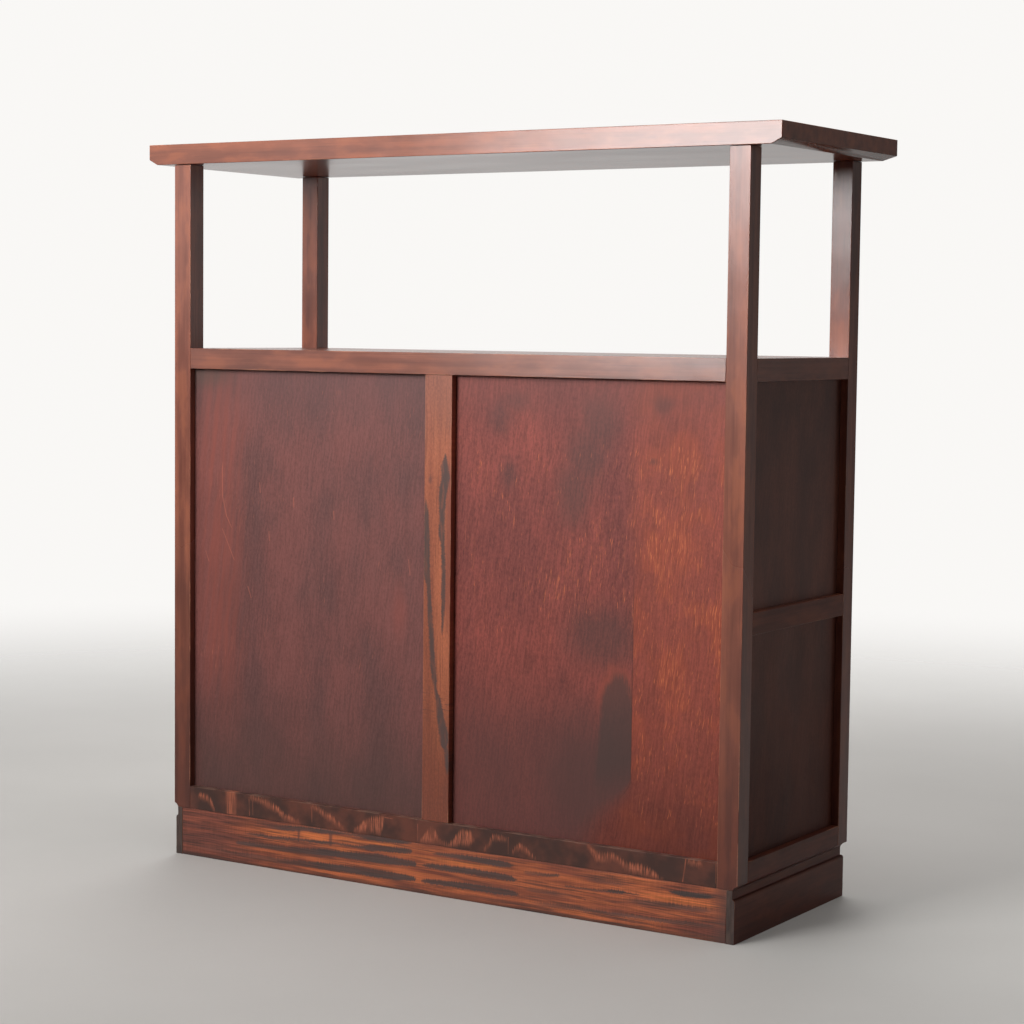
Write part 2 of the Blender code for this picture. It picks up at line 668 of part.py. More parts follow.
def build():
    slab = top_slab()
    post = posts(slab, plinth())
    left_top, left_mid, left_bottom = case_side("left", LEFT, post)
    right_top, right_mid, right_bottom = case_side("right", RIGHT, post)
    rear_top, rear_bottom = case_rear(post)
    front_top, front_bottom = case_front(post)
    cut_cove("front", (post["front", "left"], post["front", "right"], front_bottom))
    cut_cove("left", (post["front", "left"], post["rear", "left"], left_bottom))
    cut_cove("right", (post["front", "right"], post["rear", "right"], right_bottom))
    board(
        "display_shelf", CABINET_TOP, SHELF_THICKNESS, (left_top, right_top), (rear_top, front_top), LACQUER
    )
    board("inner_shelf", MID_RAIL_TOP, SHELF_THICKNESS, (left_mid, right_mid), (), PLAIN_WOOD)
    board(
        "floor_board", BOTTOM_RAIL_TOP, FLOOR_THICKNESS, (left_bottom, right_bottom),
        (rear_bottom, front_bottom), PLAIN_WOOD,
    )
    door("left", -1)
    door("right", 1)


build()
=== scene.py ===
import json
import math

import bmesh
import bpy
from mathutils import Matrix, Vector


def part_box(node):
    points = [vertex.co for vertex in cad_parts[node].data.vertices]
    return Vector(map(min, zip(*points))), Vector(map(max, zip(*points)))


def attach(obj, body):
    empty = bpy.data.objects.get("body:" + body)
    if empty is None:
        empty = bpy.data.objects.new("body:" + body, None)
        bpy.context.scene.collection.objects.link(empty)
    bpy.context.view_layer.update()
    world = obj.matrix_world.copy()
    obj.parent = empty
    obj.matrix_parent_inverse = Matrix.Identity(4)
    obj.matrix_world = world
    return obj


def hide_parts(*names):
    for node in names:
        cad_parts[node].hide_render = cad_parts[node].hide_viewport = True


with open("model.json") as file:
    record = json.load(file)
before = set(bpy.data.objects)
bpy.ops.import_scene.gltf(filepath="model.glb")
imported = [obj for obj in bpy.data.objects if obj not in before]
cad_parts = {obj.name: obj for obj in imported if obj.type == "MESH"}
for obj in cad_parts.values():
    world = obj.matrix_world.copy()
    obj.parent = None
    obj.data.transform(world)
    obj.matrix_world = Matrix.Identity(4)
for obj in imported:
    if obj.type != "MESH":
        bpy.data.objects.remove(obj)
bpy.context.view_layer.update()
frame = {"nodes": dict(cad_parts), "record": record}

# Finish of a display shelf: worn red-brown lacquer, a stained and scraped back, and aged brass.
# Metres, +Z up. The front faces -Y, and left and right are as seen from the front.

# Camera, fitted to the photograph's square frame
CAMERA_PLACE = Vector((-1.86516, 2.90641, 0.79794))
CAMERA_AIM = Vector((-0.0113, 0.0, 0.5305))
CAMERA_ROLL = math.radians(0.647)
CAMERA_LENS = 84.083  # millimetres, on a sensor of 36

# Studio
KEY_PLACE = Vector((0.83, 2.85, 2.16))
KEY_SIZE = (1.42, 2.1)
KEY_SPREAD = math.radians(84)
KEY_WATTS = 41
KEY_AIM = Vector((0.0, 0.0, 1.75))  # over the shelf, so that the light falls off towards the floor
RETURN_PLACE = Vector((2.30, 1.90, 1.55))  # a weaker pane further round, seen in the right half of the back
RETURN_SIZE = (1.4, 1.5)
RETURN_WATTS = 9
FILL_PLACE = Vector((1.9, -3.9, 2.5))
FILL_SIZE = (2.6, 2.2)
FILL_WATTS = 100
TOP_PLACE = Vector((0.0, -0.1, 4.2))  # straight above, for the floor
TOP_AIM = Vector((0.0, -0.1, 0.0))
TOP_SIZE = (3.0, 3.0)
TOP_SPREAD = math.radians(110)
TOP_WATTS = 42
WIDE = math.radians(180)
LIGHT_AIM = Vector((0.0, 0.0, 1.0))
# Pale screens in the surround: which way each stands, and where its soft edge begins and ends
SCREENS = [(Vector((0.80, -0.60, 0.0)), 0.60, 0.99), (Vector((-0.80, -0.60, 0.0)), 0.885, 0.995)]
BACKDROP_COLOUR = (1.0, 0.985, 0.965, 1.0)
BACKDROP_DIM = 0.12
BACKDROP_PALE = 0.95
SOFT_LIGHT_SHARE = 0.45  # of the surround, in the light that it throws on the shelf
FLOOR_RADIUS = 7.0
FLOOR_SIDES = 96
FLOOR_ROUGHNESS = 0.65
FLOOR_FADE = (0.9, 3.6)  # from the middle, where the floor begins to fade out and where it is gone

# Wood that darkens, with age and as painted shade, and loses its gloss towards the floor: the heights between
# which it does
AGE_AND_SHADE_HEIGHTS = (0.06, 0.55)
AGE_AND_SHADE_WANDER = 0.08
AGE_AND_SHADE_SHARES = (0.48, 0.36, 0.31, 1.0)  # of red, green and blue at the foot
DULL_HEIGHTS = (0.10, 0.62)

# The panel behind the left door is two leaves of veneer, which meet here
VENEER_SEAM = -0.308

# Marks on the back, drawn one by one, in millimetres
MM = 0.001
# Dark veins of the rear stile, from the top: up, across, and half the vein's width
STILE_VEINS = [
    [
        (624, -13, 0), (617, -12.5, 2), (606, -11.4, 6.1), (588, -13.3, 7.2), (574, -9.8, 7.3),
        (560, -8, 6.1), (528, -7.8, 4.8), (510, -7.4, 5.4), (496.5, -9.4, 3.1), (460, -11.2, 3.3),
        (437, -11, 3.5), (414, -10.8, 3.3), (391, -10.3, 2.2), (375, -9.5, 1.3), (366, -9.5, 0),
    ],
    [
        (560, 20, 0), (537.5, 18.5, 4), (517, 18, 4.5), (505.5, 17.5, 5), (460, 17.2, 5.3),
        (448.5, 16.5, 5.5), (437, 13.8, 3.3), (414, 12.2, 3.5), (391, 10.9, 4.1), (368, 8.5, 4.2),
        (322, 5, 4.5), (304, 2.4, 4.2), (297, 1.5, 2), (292.5, 1, 2.5), (276.8, -4.5, 4.2), (254, -8, 6.2),
        (236, -12.7, 7.6), (219.6, -14.5, 6.9), (212.8, -14.4, 4.6), (208, -18.5, 3.5), (185.6, -19.5, 3),
        (172, -20.5, 0),
    ],
]
# A knot beside them: across and up to its middle, then half its width and half its height
STILE_KNOT = [(12.5, 585, 3, 6)]
# Scraped bands of the rear bottom rail, from its right end: across, up, and half the band's width
RAIL_BANDS = [
    (430, 93, 0), (426, 92.8, 3), (408, 90, 4.5), (400, 78, 4), (397, 74, 0),
    (336, 100.5, 0), (325, 100.5, 2), (305, 97.5, 3.5), (280, 89, 4.2), (266, 80, 3.5), (240, 74.5, 1.5),
    (234, 74, 0),
    (219, 101.5, 0), (213, 101, 2), (200, 95.5, 3.5), (180, 87, 3.8), (162, 77.5, 2.5), (156, 76, 0),
    (141, 74, 0), (128, 81, 5), (115, 87, 8), (100, 88, 11.5), (91, 88, 12.5), (87, 100, 0),
    (25, 74, 0), (12, 83, 8), (5, 87, 10), (-3, 83, 6), (-10, 78, 1.5), (-24, 74, 1), (-35, 82, 6),
    (-43, 88, 10), (-61, 89, 10), (-65, 89, 0),
    (-82, 74, 0), (-92.5, 88, 4), (-98, 95.5, 3), (-116, 95.5, 2), (-121, 95.5, 0),
    (-128, 77, 0), (-138, 87, 3.5), (-147, 86.5, 3), (-158, 78.5, 2.5), (-170, 74, 0),
    (-247, 103, 0), (-254, 99, 3), (-263, 89.5, 6), (-275, 89.5, 4.5), (-288, 93.5, 4),
    (-297.5, 90.5, 3.5), (-307.5, 82.5, 4.5), (-320, 81.5, 5), (-333, 81, 6), (-345, 77.5, 5),
    (-357, 74.5, 2.5), (-367, 72.5, 0),
    (-400, 101, 0), (-405, 101, 2.5), (-420, 100.5, 2.5), (-425, 100.5, 0),
]
# Straight scrapes: across and up at each end, then the width at each end
RAIL_LINES = [
    (366, 106, 365.5, 71, 17, 16), (332, 98, 331, 74, 1, 1), (325.5, 98, 324.5, 76, 1, 1.2),
    (216, 100, 215.5, 78, 1.2, 0.8), (89.5, 101, 72.5, 100.5, 1.2, 0.8), (29, 98, 29, 75, 1, 1),
    (-122.5, 98, -122.5, 75, 1.2, 0.8), (-399, 104, -395, 74, 1.6, 1.4), (-443.5, 103, -443.5, 78, 1, 0.8),
]
# Dark ribbons of the rear plinth board, from its right end: across, up, half the width, and how dark
PLINTH_RIBBONS = [
    [
        (345, 61, 1.5, 0), (300, 61, 2, 0.4), (285, 61.5, 2.5, 0.7), (270, 63, 3.5, 1), (250, 64.5, 4, 1),
        (225, 66.8, 3, 0.9), (200, 67, 4, 1), (172, 68.2, 2.5, 0.9), (155, 69, 1.5, 0.8),
        (132, 68.5, 1.8, 0.8), (115, 68.5, 4, 1), (90, 69, 4.5, 1), (60, 70, 4, 1), (44, 70.5, 2.5, 0.8),
        (37, 70.5, 0, 0.5), (6, 59, 0, 0.7), (-5, 60, 2, 0.9), (-30, 60.8, 2.8, 0.9), (-60, 61, 3.5, 1),
        (-72, 60.5, 4.2, 1), (-110, 60, 4.5, 1), (-125, 60, 3, 1), (-133, 60, 0, 0.8), (-240, 57.5, 0, 0),
        (-262, 57.2, 1.8, 0.4), (-300, 57, 1.5, 0.4), (-318, 57.5, 0, 0), (-372, 58, 0, 0.6),
        (-380, 57.8, 1.8, 0.7), (-395, 57.5, 3.2, 0.8), (-415, 58.2, 3.4, 0.8), (-432, 59, 2.8, 0.8),
        (-447, 60, 0, 0.5),
    ],
    [
        (350, 45, 0, 0), (330, 46.2, 1.8, 0.7), (310, 47, 2.5, 0.9), (292, 46, 2.6, 0.9),
        (248, 48.8, 2.4, 0.9), (235, 50, 2, 0.9), (200, 50.5, 2.5, 1), (185, 52, 2.2, 1),
        (172, 52.8, 1.6, 0.9), (140, 52, 1.8, 0.9), (122, 53, 2.5, 1), (112, 54, 5, 1), (90, 55.2, 4.2, 1),
        (50, 57.2, 4, 1), (40, 58, 2.8, 0.9), (37, 58, 0, 0.8), (-146, 53.5, 0, 0.4),
        (-152, 53.5, 2.5, 0.5), (-188, 54.2, 2.2, 0.6), (-203, 56.2, 1.8, 0.6), (-208, 57, 0, 0.4),
        (-212, 43, 0, 0.5), (-216, 43.2, 0.8, 0.7), (-245, 43.6, 0.8, 0.7), (-280, 44.6, 0.9, 0.7),
        (-287, 46.2, 1.8, 0.9), (-304, 47.2, 2, 0.9), (-310, 46.6, 0.9, 0.7), (-328, 46.6, 0.8, 0.6),
        (-334, 46.6, 0, 0.4),
    ],
    [
        (358, 30.5, 0, 0.6), (354, 30.5, 2.5, 0.8), (340, 31, 3, 0.9), (280, 32, 3.5, 0.9),
        (260, 32.5, 4, 0.9), (240, 34, 4, 0.9), (220, 34.5, 4.5, 0.9), (200, 36.5, 5, 1),
        (160, 38, 4.5, 1), (120, 39, 6, 1), (100, 40, 7, 1), (60, 40, 5, 1), (40, 40.5, 4, 1),
        (32.5, 40.5, 3.8, 1), (30.5, 40.5, 0, 1), (22, 40.8, 0, 0.7), (18, 41, 1.6, 0.9),
        (8, 41.3, 3.2, 1), (-20, 41.5, 4.5, 1), (-60, 42.8, 4.5, 1), (-120, 42, 4.5, 1),
        (-131, 41.5, 3.4, 1), (-139, 41, 0, 0.9), (-146, 30.5, 0, 0.3), (-160, 31, 3.5, 0.4),
        (-200, 30, 3.5, 0.3), (-235, 30, 2, 0), (-300, 37, 2, 0), (-325, 38, 3, 0.4), (-380, 39, 3.6, 0.5),
        (-430, 40.2, 3, 0.4), (-450, 42, 0, 0),
    ],
    [
        (455, 14, 2, 0), (410, 14, 2.6, 0.4), (360, 14, 3, 0.5), (330, 13.5, 3.6, 0.6),
        (280, 13.5, 3.6, 0.7), (250, 14.5, 3.6, 0.8), (220, 15.5, 4.2, 0.9), (200, 16, 5, 1),
        (140, 17.5, 5, 1), (100, 18, 6, 1), (60, 18.5, 5, 1), (45, 19, 4, 1), (32.5, 19, 3, 1),
        (30.5, 19, 0, 1), (23, 18.5, 0, 0.8), (19, 18.5, 2.5, 0.9), (8, 19, 3.6, 1), (-20, 20, 4, 1),
        (-60, 21, 5, 1), (-122, 21.5, 4.5, 1), (-133, 21, 3.4, 1), (-143, 21, 0, 0.8), (-148, 12, 0, 0.2),
        (-180, 13, 3, 0.4), (-250, 15, 2.6, 0.5), (-280, 15, 2.2, 0.5), (-320, 16.5, 2.6, 0.5),
        (-360, 17, 2.6, 0.5), (-400, 19, 2.6, 0.5), (-440, 21, 1.6, 0.4), (-450, 21.5, 0, 0),
    ],
]
# Bright blocks between the ribbons: across and up to the middle, then half the length and half the height
PLINTH_BLOCKS = [
    (211, 57.2, 26.5, 4.4), (150, 60, 26.5, 4.4), (275, 54.8, 32, 3.6), (90, 62.5, 30, 3.8),
    (-55, 52.5, 70, 3.6), (150, 44, 30, 2), (-390, 48, 50, 4),
]
# Dark marks on the board, laid out like the straight scrapes
PLINTH_MARKS = [
    (239, 64, 240, 48, 5, 3), (181.2, 67, 181.8, 50, 6, 5), (-363, 61.7, -367, 61.7, 1.6, 1.2),
    (-285, 47.5, -290, 47.5, 1.4, 1.2), (-288, 66.5, -288, 63.5, 1, 1.4), (-246, 29, -246.5, 28.5, 2, 2),
]
# Oval marks of the panel behind the left door, laid out like the bright blocks
DARK_SMEARS = [
    (-252, 672, 30, 40), (-232, 625, 30, 45), (-213, 578, 24, 45), (-262, 385, 50, 40), (-240, 190, 60, 80),
]
DARK_STAIN = [(-287, 258, 29, 78), (-284, 205, 31, 80)]
STAIN_HALO = [(-286, 262, 36, 87)]
DARK_SPOTS = [
    (-122.5, 697, 20, 13), (-96.5, 676, 17, 20), (-110, 596, 11, 20), (-346, 698, 14, 10),
    (-334, 622.6, 5, 4),
]
# Oval marks of the panel behind the right door, and its scratches, laid out like the straight scrapes
RED_PATCH = [(71.5, 395, 11, 32)]
DARK_CORNER = [(430, 728, 50, 22)]
SCRATCHES = [
    (392.5, 587.5, 392.5, 545, 1, 1.4), (392.5, 545, 385, 515, 1.4, 1.4), (385, 515, 375, 497.5, 1.4, 0.8),
    (392.5, 495, 370, 450, 0.9, 1.2), (322.5, 566, 321.5, 552, 1, 1.4), (260, 547, 259.5, 533, 1.6, 1.2),
    (187.5, 531, 187, 519, 1.6, 1.2), (305, 496, 304, 482, 1, 1.3), (56, 470, 53, 448, 0.8, 1.2),
    (344, 412, 338, 396, 1.2, 0.8), (424, 460, 418, 445, 0.8, 1.2),
]

RAIL_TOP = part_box("rear_bottom_rail")[1].z

# Shares of red, green and blue that scale a piece's colour, for its own tone and, on the rear posts, as
# painted sheen; and how far a face leans back
TONE_AND_SHEEN_TINTS = {
    "rear_top_rail": (0.82, 0.80, 0.76),
    "display_shelf": (1.10, 1.10, 1.10),
    "top_slab": (0.84, 0.77, 0.64),
    # Painted sheen: greener and bluer shares that make the rear posts look glossier
    "post_rear_right": (0.98, 1.06, 1.12),
    "post_rear_left": (1.0, 1.04, 1.06),
    "left_mid_rail": (0.82, 0.80, 0.76),
}
LEANS = {"rear_top_rail": 0.066, "top_slab": 0.085}

# Relief of planed faces and sawn ends, and the softness of marks
PLANED_WAVE = 0.0004
SAWN_WAVE = 0.3 * PLANED_WAVE
FIBRE_DEPTH = 0.00004
SAWN_FIBRE_DEPTH = 0.04 * FIBRE_DEPTH
PIECES_APART = 37.0  # in the noise, from one piece to the next
STREAK_ROUGHNESS = 0.55
STROKE_SOFT = 0.0003
MARK_RAG = 0.0004
RIBBON_SOFT = 0.0016
RIBBON_STARTS = (0.0002, 0.0007)  # half widths at which a ribbon begins to show, and shows in full
FLECK_LEAN = 0.08  # across, for each metre up

# Easing of edges
WELD = 0.00001
FLAT_TURN = math.radians(0.5)
ARRIS_TURN = math.radians(40)
SHARP_TURN = math.radians(50)
WOOD_BEND = math.radians(20)  # a flatter bend is part of a curve
WOOD_ARRIS = 0.0009
WOOD_EDGE_LENGTH = 0.0165  # shorter edges belong to hidden joints
BRASS_ARRIS = 0.00035
BRASS_EDGE_LENGTH = 0.0008
END_FACING = 0.95

# Screws in the hinge leaves and pins in the pull plates
HEAD_STEPS = 20
SCREW_DOME = [(0.0, 1.0), (0.55, 0.86), (0.85, 0.5), (1.0, 0.0)]  # shares of a head's radius and height
SCREW_RADIUS = 0.0023
SCREW_PROUD = 0.0006
HEAD_SUNK = 0.0004  # below the face, so that nothing shows beneath a head
SCREW_PITCH = 0.018
SLOT_WIDTH = 0.0006
SLOT_DEPTH = 0.0005
LEAF_TURN = 1.9  # radians by which slots turn from leaf to leaf, and from screw to screw
SLOT_TURN = 2.3
LEAF_THICKNESS = 0.0015
KNUCKLE_REACH = 0.0035
PIN_DOME = [(0.0, 1.0), (0.5, 0.87), (0.87, 0.5), (1.0, 0.0)]
PIN_RADIUS = 0.0013
PIN_PROUD = 0.0008
PIN_CIRCLE = 0.0148
PLATE_AT_PINS = 0.0017  # thickness of a pull plate there


def tone(red, green, blue):
    """A colour as seen on a screen, 0 to 255, turned into the linear values that shaders take."""
    def linear(value):
        share = value / 255
        return share / 12.92 if share <= 0.04045 else ((share + 0.055) / 1.055) ** 2.4
    return (linear(red), linear(green), linear(blue), 1.0)


# Shader graphs

class Graph:
    """Adds nodes to a shader tree. Every input takes a plain value or the output of another node."""

    def __init__(self, tree):
        self.tree = tree

    def feed(self, socket, value):
        if isinstance(value, bpy.types.NodeSocket):
            self.tree.links.new(value, socket)
        else:
            socket.default_value = value

    def add(self, kind, inputs=None, **settings):
        node = self.tree.nodes.new(kind)
        for name, value in settings.items():
            setattr(node, name, value)
        for key, value in (inputs or {}).items():
            self.feed(node.inputs[key], value)
        return node

    def calc(self, operation, *values):
        inputs = dict(enumerate(values))
        return self.add("ShaderNodeMath", inputs, operation=operation).outputs[0]

    def times(self, first, *others):
        for other in others:
            first = self.calc("MULTIPLY", first, other)
        return first

    def vector(self, operation, *values):
        node = self.add("ShaderNodeVectorMath", operation=operation)
        for key, value in enumerate(values):
            self.feed(node.inputs[3 if operation == "SCALE" and key == 1 else key], value)
        scalar = operation in ("DOT_PRODUCT", "LENGTH", "DISTANCE")
        return node.outputs["Value" if scalar else "Vector"]

    def between(self, value, low, high, first=0.0, last=1.0):
        """First at low and last at high, with a soft run between them."""
        inputs = {"Value": value, "From Min": low, "From Max": high, "To Min": first, "To Max": last}
        node = self.add("ShaderNodeMapRange", inputs, interpolation_type="SMOOTHSTEP")
        return node.outputs["Result"]

    def span(self, value, low, high):
        """A noise of 0 to 1 stretched to run from low to high."""
        inputs = {"Value": value, "To Min": low, "To Max": high}
        return self.add("ShaderNodeMapRange", inputs).outputs["Result"]

    def mix(self, factor, first, second, blend="MIX"):
        inputs = {0: factor, 6: first, 7: second}
        node = self.add("ShaderNodeMix", inputs, data_type="RGBA", blend_type=blend)
        return node.outputs[2]

    def over(self, colour, mask, share, laid):
        """A colour with another laid over it where a mask is strong, up to a share."""
        return self.mix(self.times(mask, share), colour, laid)

    def noise(self, place, scale, detail=2.0, roughness=0.5):
        """Noise of 0 to 1, finer as its scale goes up. Three scales draw it out along an axis."""
        if isinstance(scale, tuple):
            place, scale = self.vector("MULTIPLY", place, scale), 1.0
        inputs = {"Vector": place, "Scale": scale, "Detail": detail, "Roughness": roughness}
        return self.add("ShaderNodeTexNoise", inputs).outputs["Fac"]

    def place(self):
        return self.add("ShaderNodeTexCoord").outputs["Object"]

    def split(self, vector):
        return self.add("ShaderNodeSeparateXYZ", {0: vector}).outputs

    def join(self, x, y, z):
        return self.add("ShaderNodeCombineXYZ", {0: x, 1: y, 2: z}).outputs[0]

    def own(self, name, output="Fac"):
        """A value that each piece carries as a mesh attribute."""
        return self.add("ShaderNodeAttribute", attribute_name=name).outputs[output]

    def group(self, tree, **inputs):
        named = {key.replace("_", " ").title(): value for key, value in inputs.items()}
        return self.add("ShaderNodeGroup", named, node_tree=tree).outputs[0]

    def curve(self, value, points):
        """A value read off a bent line through points of places, in millimetres, and heights."""
        places, heights = zip(*sorted(points))
        low, high = min(heights), max(heights)
        inputs = {"Value": value, "From Min": places[0] * MM, "From Max": places[-1] * MM}
        share = self.add("ShaderNodeMapRange", inputs).outputs["Result"]
        node = self.add("ShaderNodeFloatCurve", {"Value": share})
        line = node.mapping.curves[0]
        shares = [(place - places[0]) / (places[-1] - places[0]) for place in places]
        levels = [(height - low) / (high - low) for height in heights]
        line.points[0].location = (0.0, levels[0])
        line.points[-1].location = (1.0, levels[-1])
        for at, level in list(zip(shares, levels))[1:-1]:
            line.points.new(at, level)
        for point in line.points:
            point.handle_type = "VECTOR"
        node.mapping.update()
        return self.span(node.outputs[0], low, high)

    def strongest(self, masks):
        total = masks[0]
        for mask in masks[1:]:
            total = self.calc("MAXIMUM", total, mask)
        return total


def shader_group(name, inputs, output):
    """A node group with named inputs and one named output. Returns its tree, graph and input sockets."""
    tree = bpy.data.node_groups.new(name, "ShaderNodeTree")
    for label, kind in inputs.items():
        tree.interface.new_socket(name=label, in_out="INPUT", socket_type="NodeSocket" + kind)
    tree.interface.new_socket(name=output, in_out="OUTPUT", socket_type="NodeSocketFloat")
    return tree, Graph(tree), tree.nodes.new("NodeGroupInput").outputs


def give(graph, socket):
    """Ends a group with its result."""
    graph.feed(graph.tree.nodes.new("NodeGroupOutput").inputs[0], socket)


def make_streaks():
    """Noise drawn out along a board's own grain, so wide and so long."""
    inputs = {"Width": "Float", "Length": "Float", "Detail": "Float", "Shift": "Float"}
    tree, graph, given = shader_group("grain_streaks", inputs, "Value")
    place = graph.place()
    grain = graph.own("grain", "Vector")
    run = graph.vector("DOT_PRODUCT", place, grain)
    across = graph.vector("SUBTRACT", place, graph.vector("SCALE", grain, run))
    across = graph.vector("SCALE", across, graph.calc("DIVIDE", 1.0, given["Width"]))
    along = graph.vector("SCALE", grain, graph.calc("DIVIDE", run, given["Length"]))
    apart = graph.calc("MULTIPLY_ADD", graph.own("seed"), PIECES_APART, given["Shift"])
    shifted = graph.vector("ADD", graph.vector("ADD", across, along), graph.join(apart, apart, apart))
    give(graph, graph.noise(shifted, 1.0, given["Detail"], STREAK_ROUGHNESS))
    return tree


def make_edge_wear():
    """Rubbed edges: near two faces of a piece's box at once, broken up along the edge."""
    tree, graph, given = shader_group("edge_wear", {"Reach": "Float", "Cover": "Float"}, "Wear")
    place = graph.place()
    above = graph.vector("SUBTRACT", place, graph.own("low", "Vector"))
    below = graph.vector("SUBTRACT", graph.own("high", "Vector"), place)
    x, y, z = graph.split(graph.vector("MINIMUM", above, below))
    lesser = graph.calc("MINIMUM", x, y)
    greater = graph.calc("MAXIMUM", x, y)
    second = graph.calc("MAXIMUM", lesser, graph.calc("MINIMUM", greater, z))
    patches = graph.noise(place, 14.0, 3.0)
    grit = graph.noise(place, 420.0, 2.0)
    reach = graph.times(given["Reach"], graph.span(grit, 0.3, 1.5))
    near = graph.between(second, reach, 0.0)
    low = graph.calc("SUBTRACT", 0.75, graph.times(given["Cover"], 0.5))
    kept = graph.between(patches, low, graph.calc("ADD", low, 0.12))
    give(graph, graph.times(near, kept))
    return tree


def fibre_noise(graph, place):
    """Upright fibres on the back, where stain and scraping end raggedly."""
    return graph.noise(place, (620.0, 0.0, 62.0), 2.0)


def make_stroke():
    """A straight stroke on the back, from a start to an end, that tapers and has ragged sides."""
    inputs = {"Start": "Vector", "End": "Vector"}
    inputs.update({"Start Width": "Float", "End Width": "Float", "Rag": "Float"})
    tree, graph, given = shader_group("stroke", inputs, "Mask")
    flat = graph.vector("MULTIPLY", graph.place(), (1.0, 0.0, 1.0))
    reach = graph.vector("SUBTRACT", given["End"], given["Start"])
    from_start = graph.vector("SUBTRACT", flat, given["Start"])
    along = graph.vector("DOT_PRODUCT", from_start, reach)
    run = graph.calc("DIVIDE", along, graph.vector("DOT_PRODUCT", reach, reach))
    run = graph.calc("MINIMUM", graph.calc("MAXIMUM", run, 0.0), 1.0)
    off = graph.vector("LENGTH", graph.vector("SUBTRACT", from_start, graph.vector("SCALE", reach, run)))
    ragged = graph.times(graph.span(fibre_noise(graph, flat), -1.0, 1.0), given["Rag"])
    off = graph.calc("ADD", off, ragged)
    more = graph.calc("SUBTRACT", given["End Width"], given["Start Width"])
    half = graph.times(graph.calc("MULTIPLY_ADD", more, run, given["Start Width"]), 0.5)
    soft = graph.calc("ADD", graph.times(half, 0.5), STROKE_SOFT)
    give(graph, graph.between(off, graph.calc("ADD", half, soft), graph.calc("SUBTRACT", half, soft)))
    return tree


def make_patch():
    """An oval patch on the back with a soft, ragged edge."""
    inputs = {"Centre": "Vector", "Radii": "Vector", "Soft": "Float", "Rag": "Float"}
    tree, graph, given = shader_group("patch", inputs, "Mask")
    flat = graph.vector("MULTIPLY", graph.place(), (1.0, 0.0, 1.0))
    reach = graph.vector("DIVIDE", graph.vector("SUBTRACT", flat, given["Centre"]), given["Radii"])
    ragged = graph.times(graph.span(fibre_noise(graph, flat), -1.0, 1.0), given["Rag"])
    cloud = graph.noise(flat, 34.0, 2.0)
    ragged = graph.calc("MULTIPLY_ADD", graph.span(cloud, -1.0, 1.0), given["Rag"], ragged)
    size = graph.calc("ADD", graph.vector("LENGTH", reach), ragged)
    inner = graph.calc("SUBTRACT", 1.0, given["Soft"])
    outer = graph.calc("ADD", 1.0, given["Soft"])
    give(graph, graph.between(size, outer, inner))
    return tree


STREAKS = make_streaks()
EDGE_WEAR = make_edge_wear()
STROKE = make_stroke()
PATCH = make_patch()


def new_material(name):
    material = bpy.data.materials.new(name)
    material.use_nodes = True
    return material, Graph(material.node_tree)


def shader_of(material):
    return material.node_tree.nodes["Principled BSDF"]


def coat(material, graph, colour, roughness, height, depth, gloss=0.5, metallic=0.0):
    """Ends a finish: its colour and roughness, its relief and how deep that is, and how it mirrors."""
    shader = shader_of(material)
    relief = graph.add("ShaderNodeBump", {"Height": height, "Distance": depth, "Strength": 1.0})
    graph.feed(shader.inputs["Base Color"], colour)
    graph.feed(shader.inputs["Roughness"], roughness)
    graph.feed(shader.inputs["Normal"], relief.outputs["Normal"])
    shader.inputs["Specular IOR Level"].default_value = gloss
    shader.inputs["Metallic"].default_value = metallic
    return material


def streaks(graph, width, length, shift, detail=3.0):
    """Noise along a piece's own grain. Each set of streaks in a finish has a shift of its own."""
    return graph.group(STREAKS, width=width, length=length, detail=detail, shift=shift)


def shaded(graph, colour, share):
    """The colour with its light scaled by a share that changes over the surface."""
    return graph.mix(1.0, colour, graph.join(share, share, share), "MULTIPLY")


def wood_figure(graph, deep, warm, shade):
    """Colour of a board before wear: long bands, darker clouds and fine fibres. Also returns the fibres."""
    bands = streaks(graph, 0.014, 0.40, 1.0, 4.0)
    clouds = streaks(graph, 0.085, 0.30, 2.0)
    fibres = streaks(graph, 0.0016, 0.09, 3.0)
    colour = graph.mix(graph.between(bands, 0.30, 0.70), deep, warm)
    colour = graph.over(colour, graph.between(clouds, 0.52, 0.78), 0.6, shade)
    colour = graph.over(colour, graph.between(fibres, 0.46, 0.28), 0.36, shade)
    return colour, fibres


def aged_and_shaded(graph, colour):
    """Darker towards the floor, partly with age and partly as painted shade where less light reaches."""
    place = graph.place()
    wander = graph.span(graph.noise(place, 9.0, 3.0), -AGE_AND_SHADE_WANDER, AGE_AND_SHADE_WANDER)
    height = graph.calc("ADD", graph.split(place)[2], wander)
    clean = graph.between(height, AGE_AND_SHADE_HEIGHTS[0], AGE_AND_SHADE_HEIGHTS[1])
    return graph.mix(1.0, colour, graph.mix(clean, AGE_AND_SHADE_SHARES, (1.0, 1.0, 1.0, 1.0)), "MULTIPLY")


def dulled(graph, roughness, more):
    """Gloss that is worn off towards the floor."""
    low = graph.between(graph.split(graph.place())[2], DULL_HEIGHTS[1], DULL_HEIGHTS[0])
    return graph.calc("MULTIPLY_ADD", low, more, roughness)


def worn(graph, colour, bare, reach, cover):
    """A finish that is rubbed through to a bare colour along its edges."""
    return graph.mix(graph.group(EDGE_WEAR, reach=reach, cover=cover), colour, bare)


def strokes(graph, rows, rag):
    """The strongest of several strokes. Each row has the places of its ends across and up, and its widths."""
    masks = []
    for row in rows:
        x0, z0, x1, z1, first, last = (value * MM for value in row)
        ends = {"start": (x0, 0.0, z0), "end": (x1, 0.0, z1)}
        masks.append(graph.group(STROKE, **ends, start_width=first, end_width=last, rag=rag))
    return graph.strongest(masks)


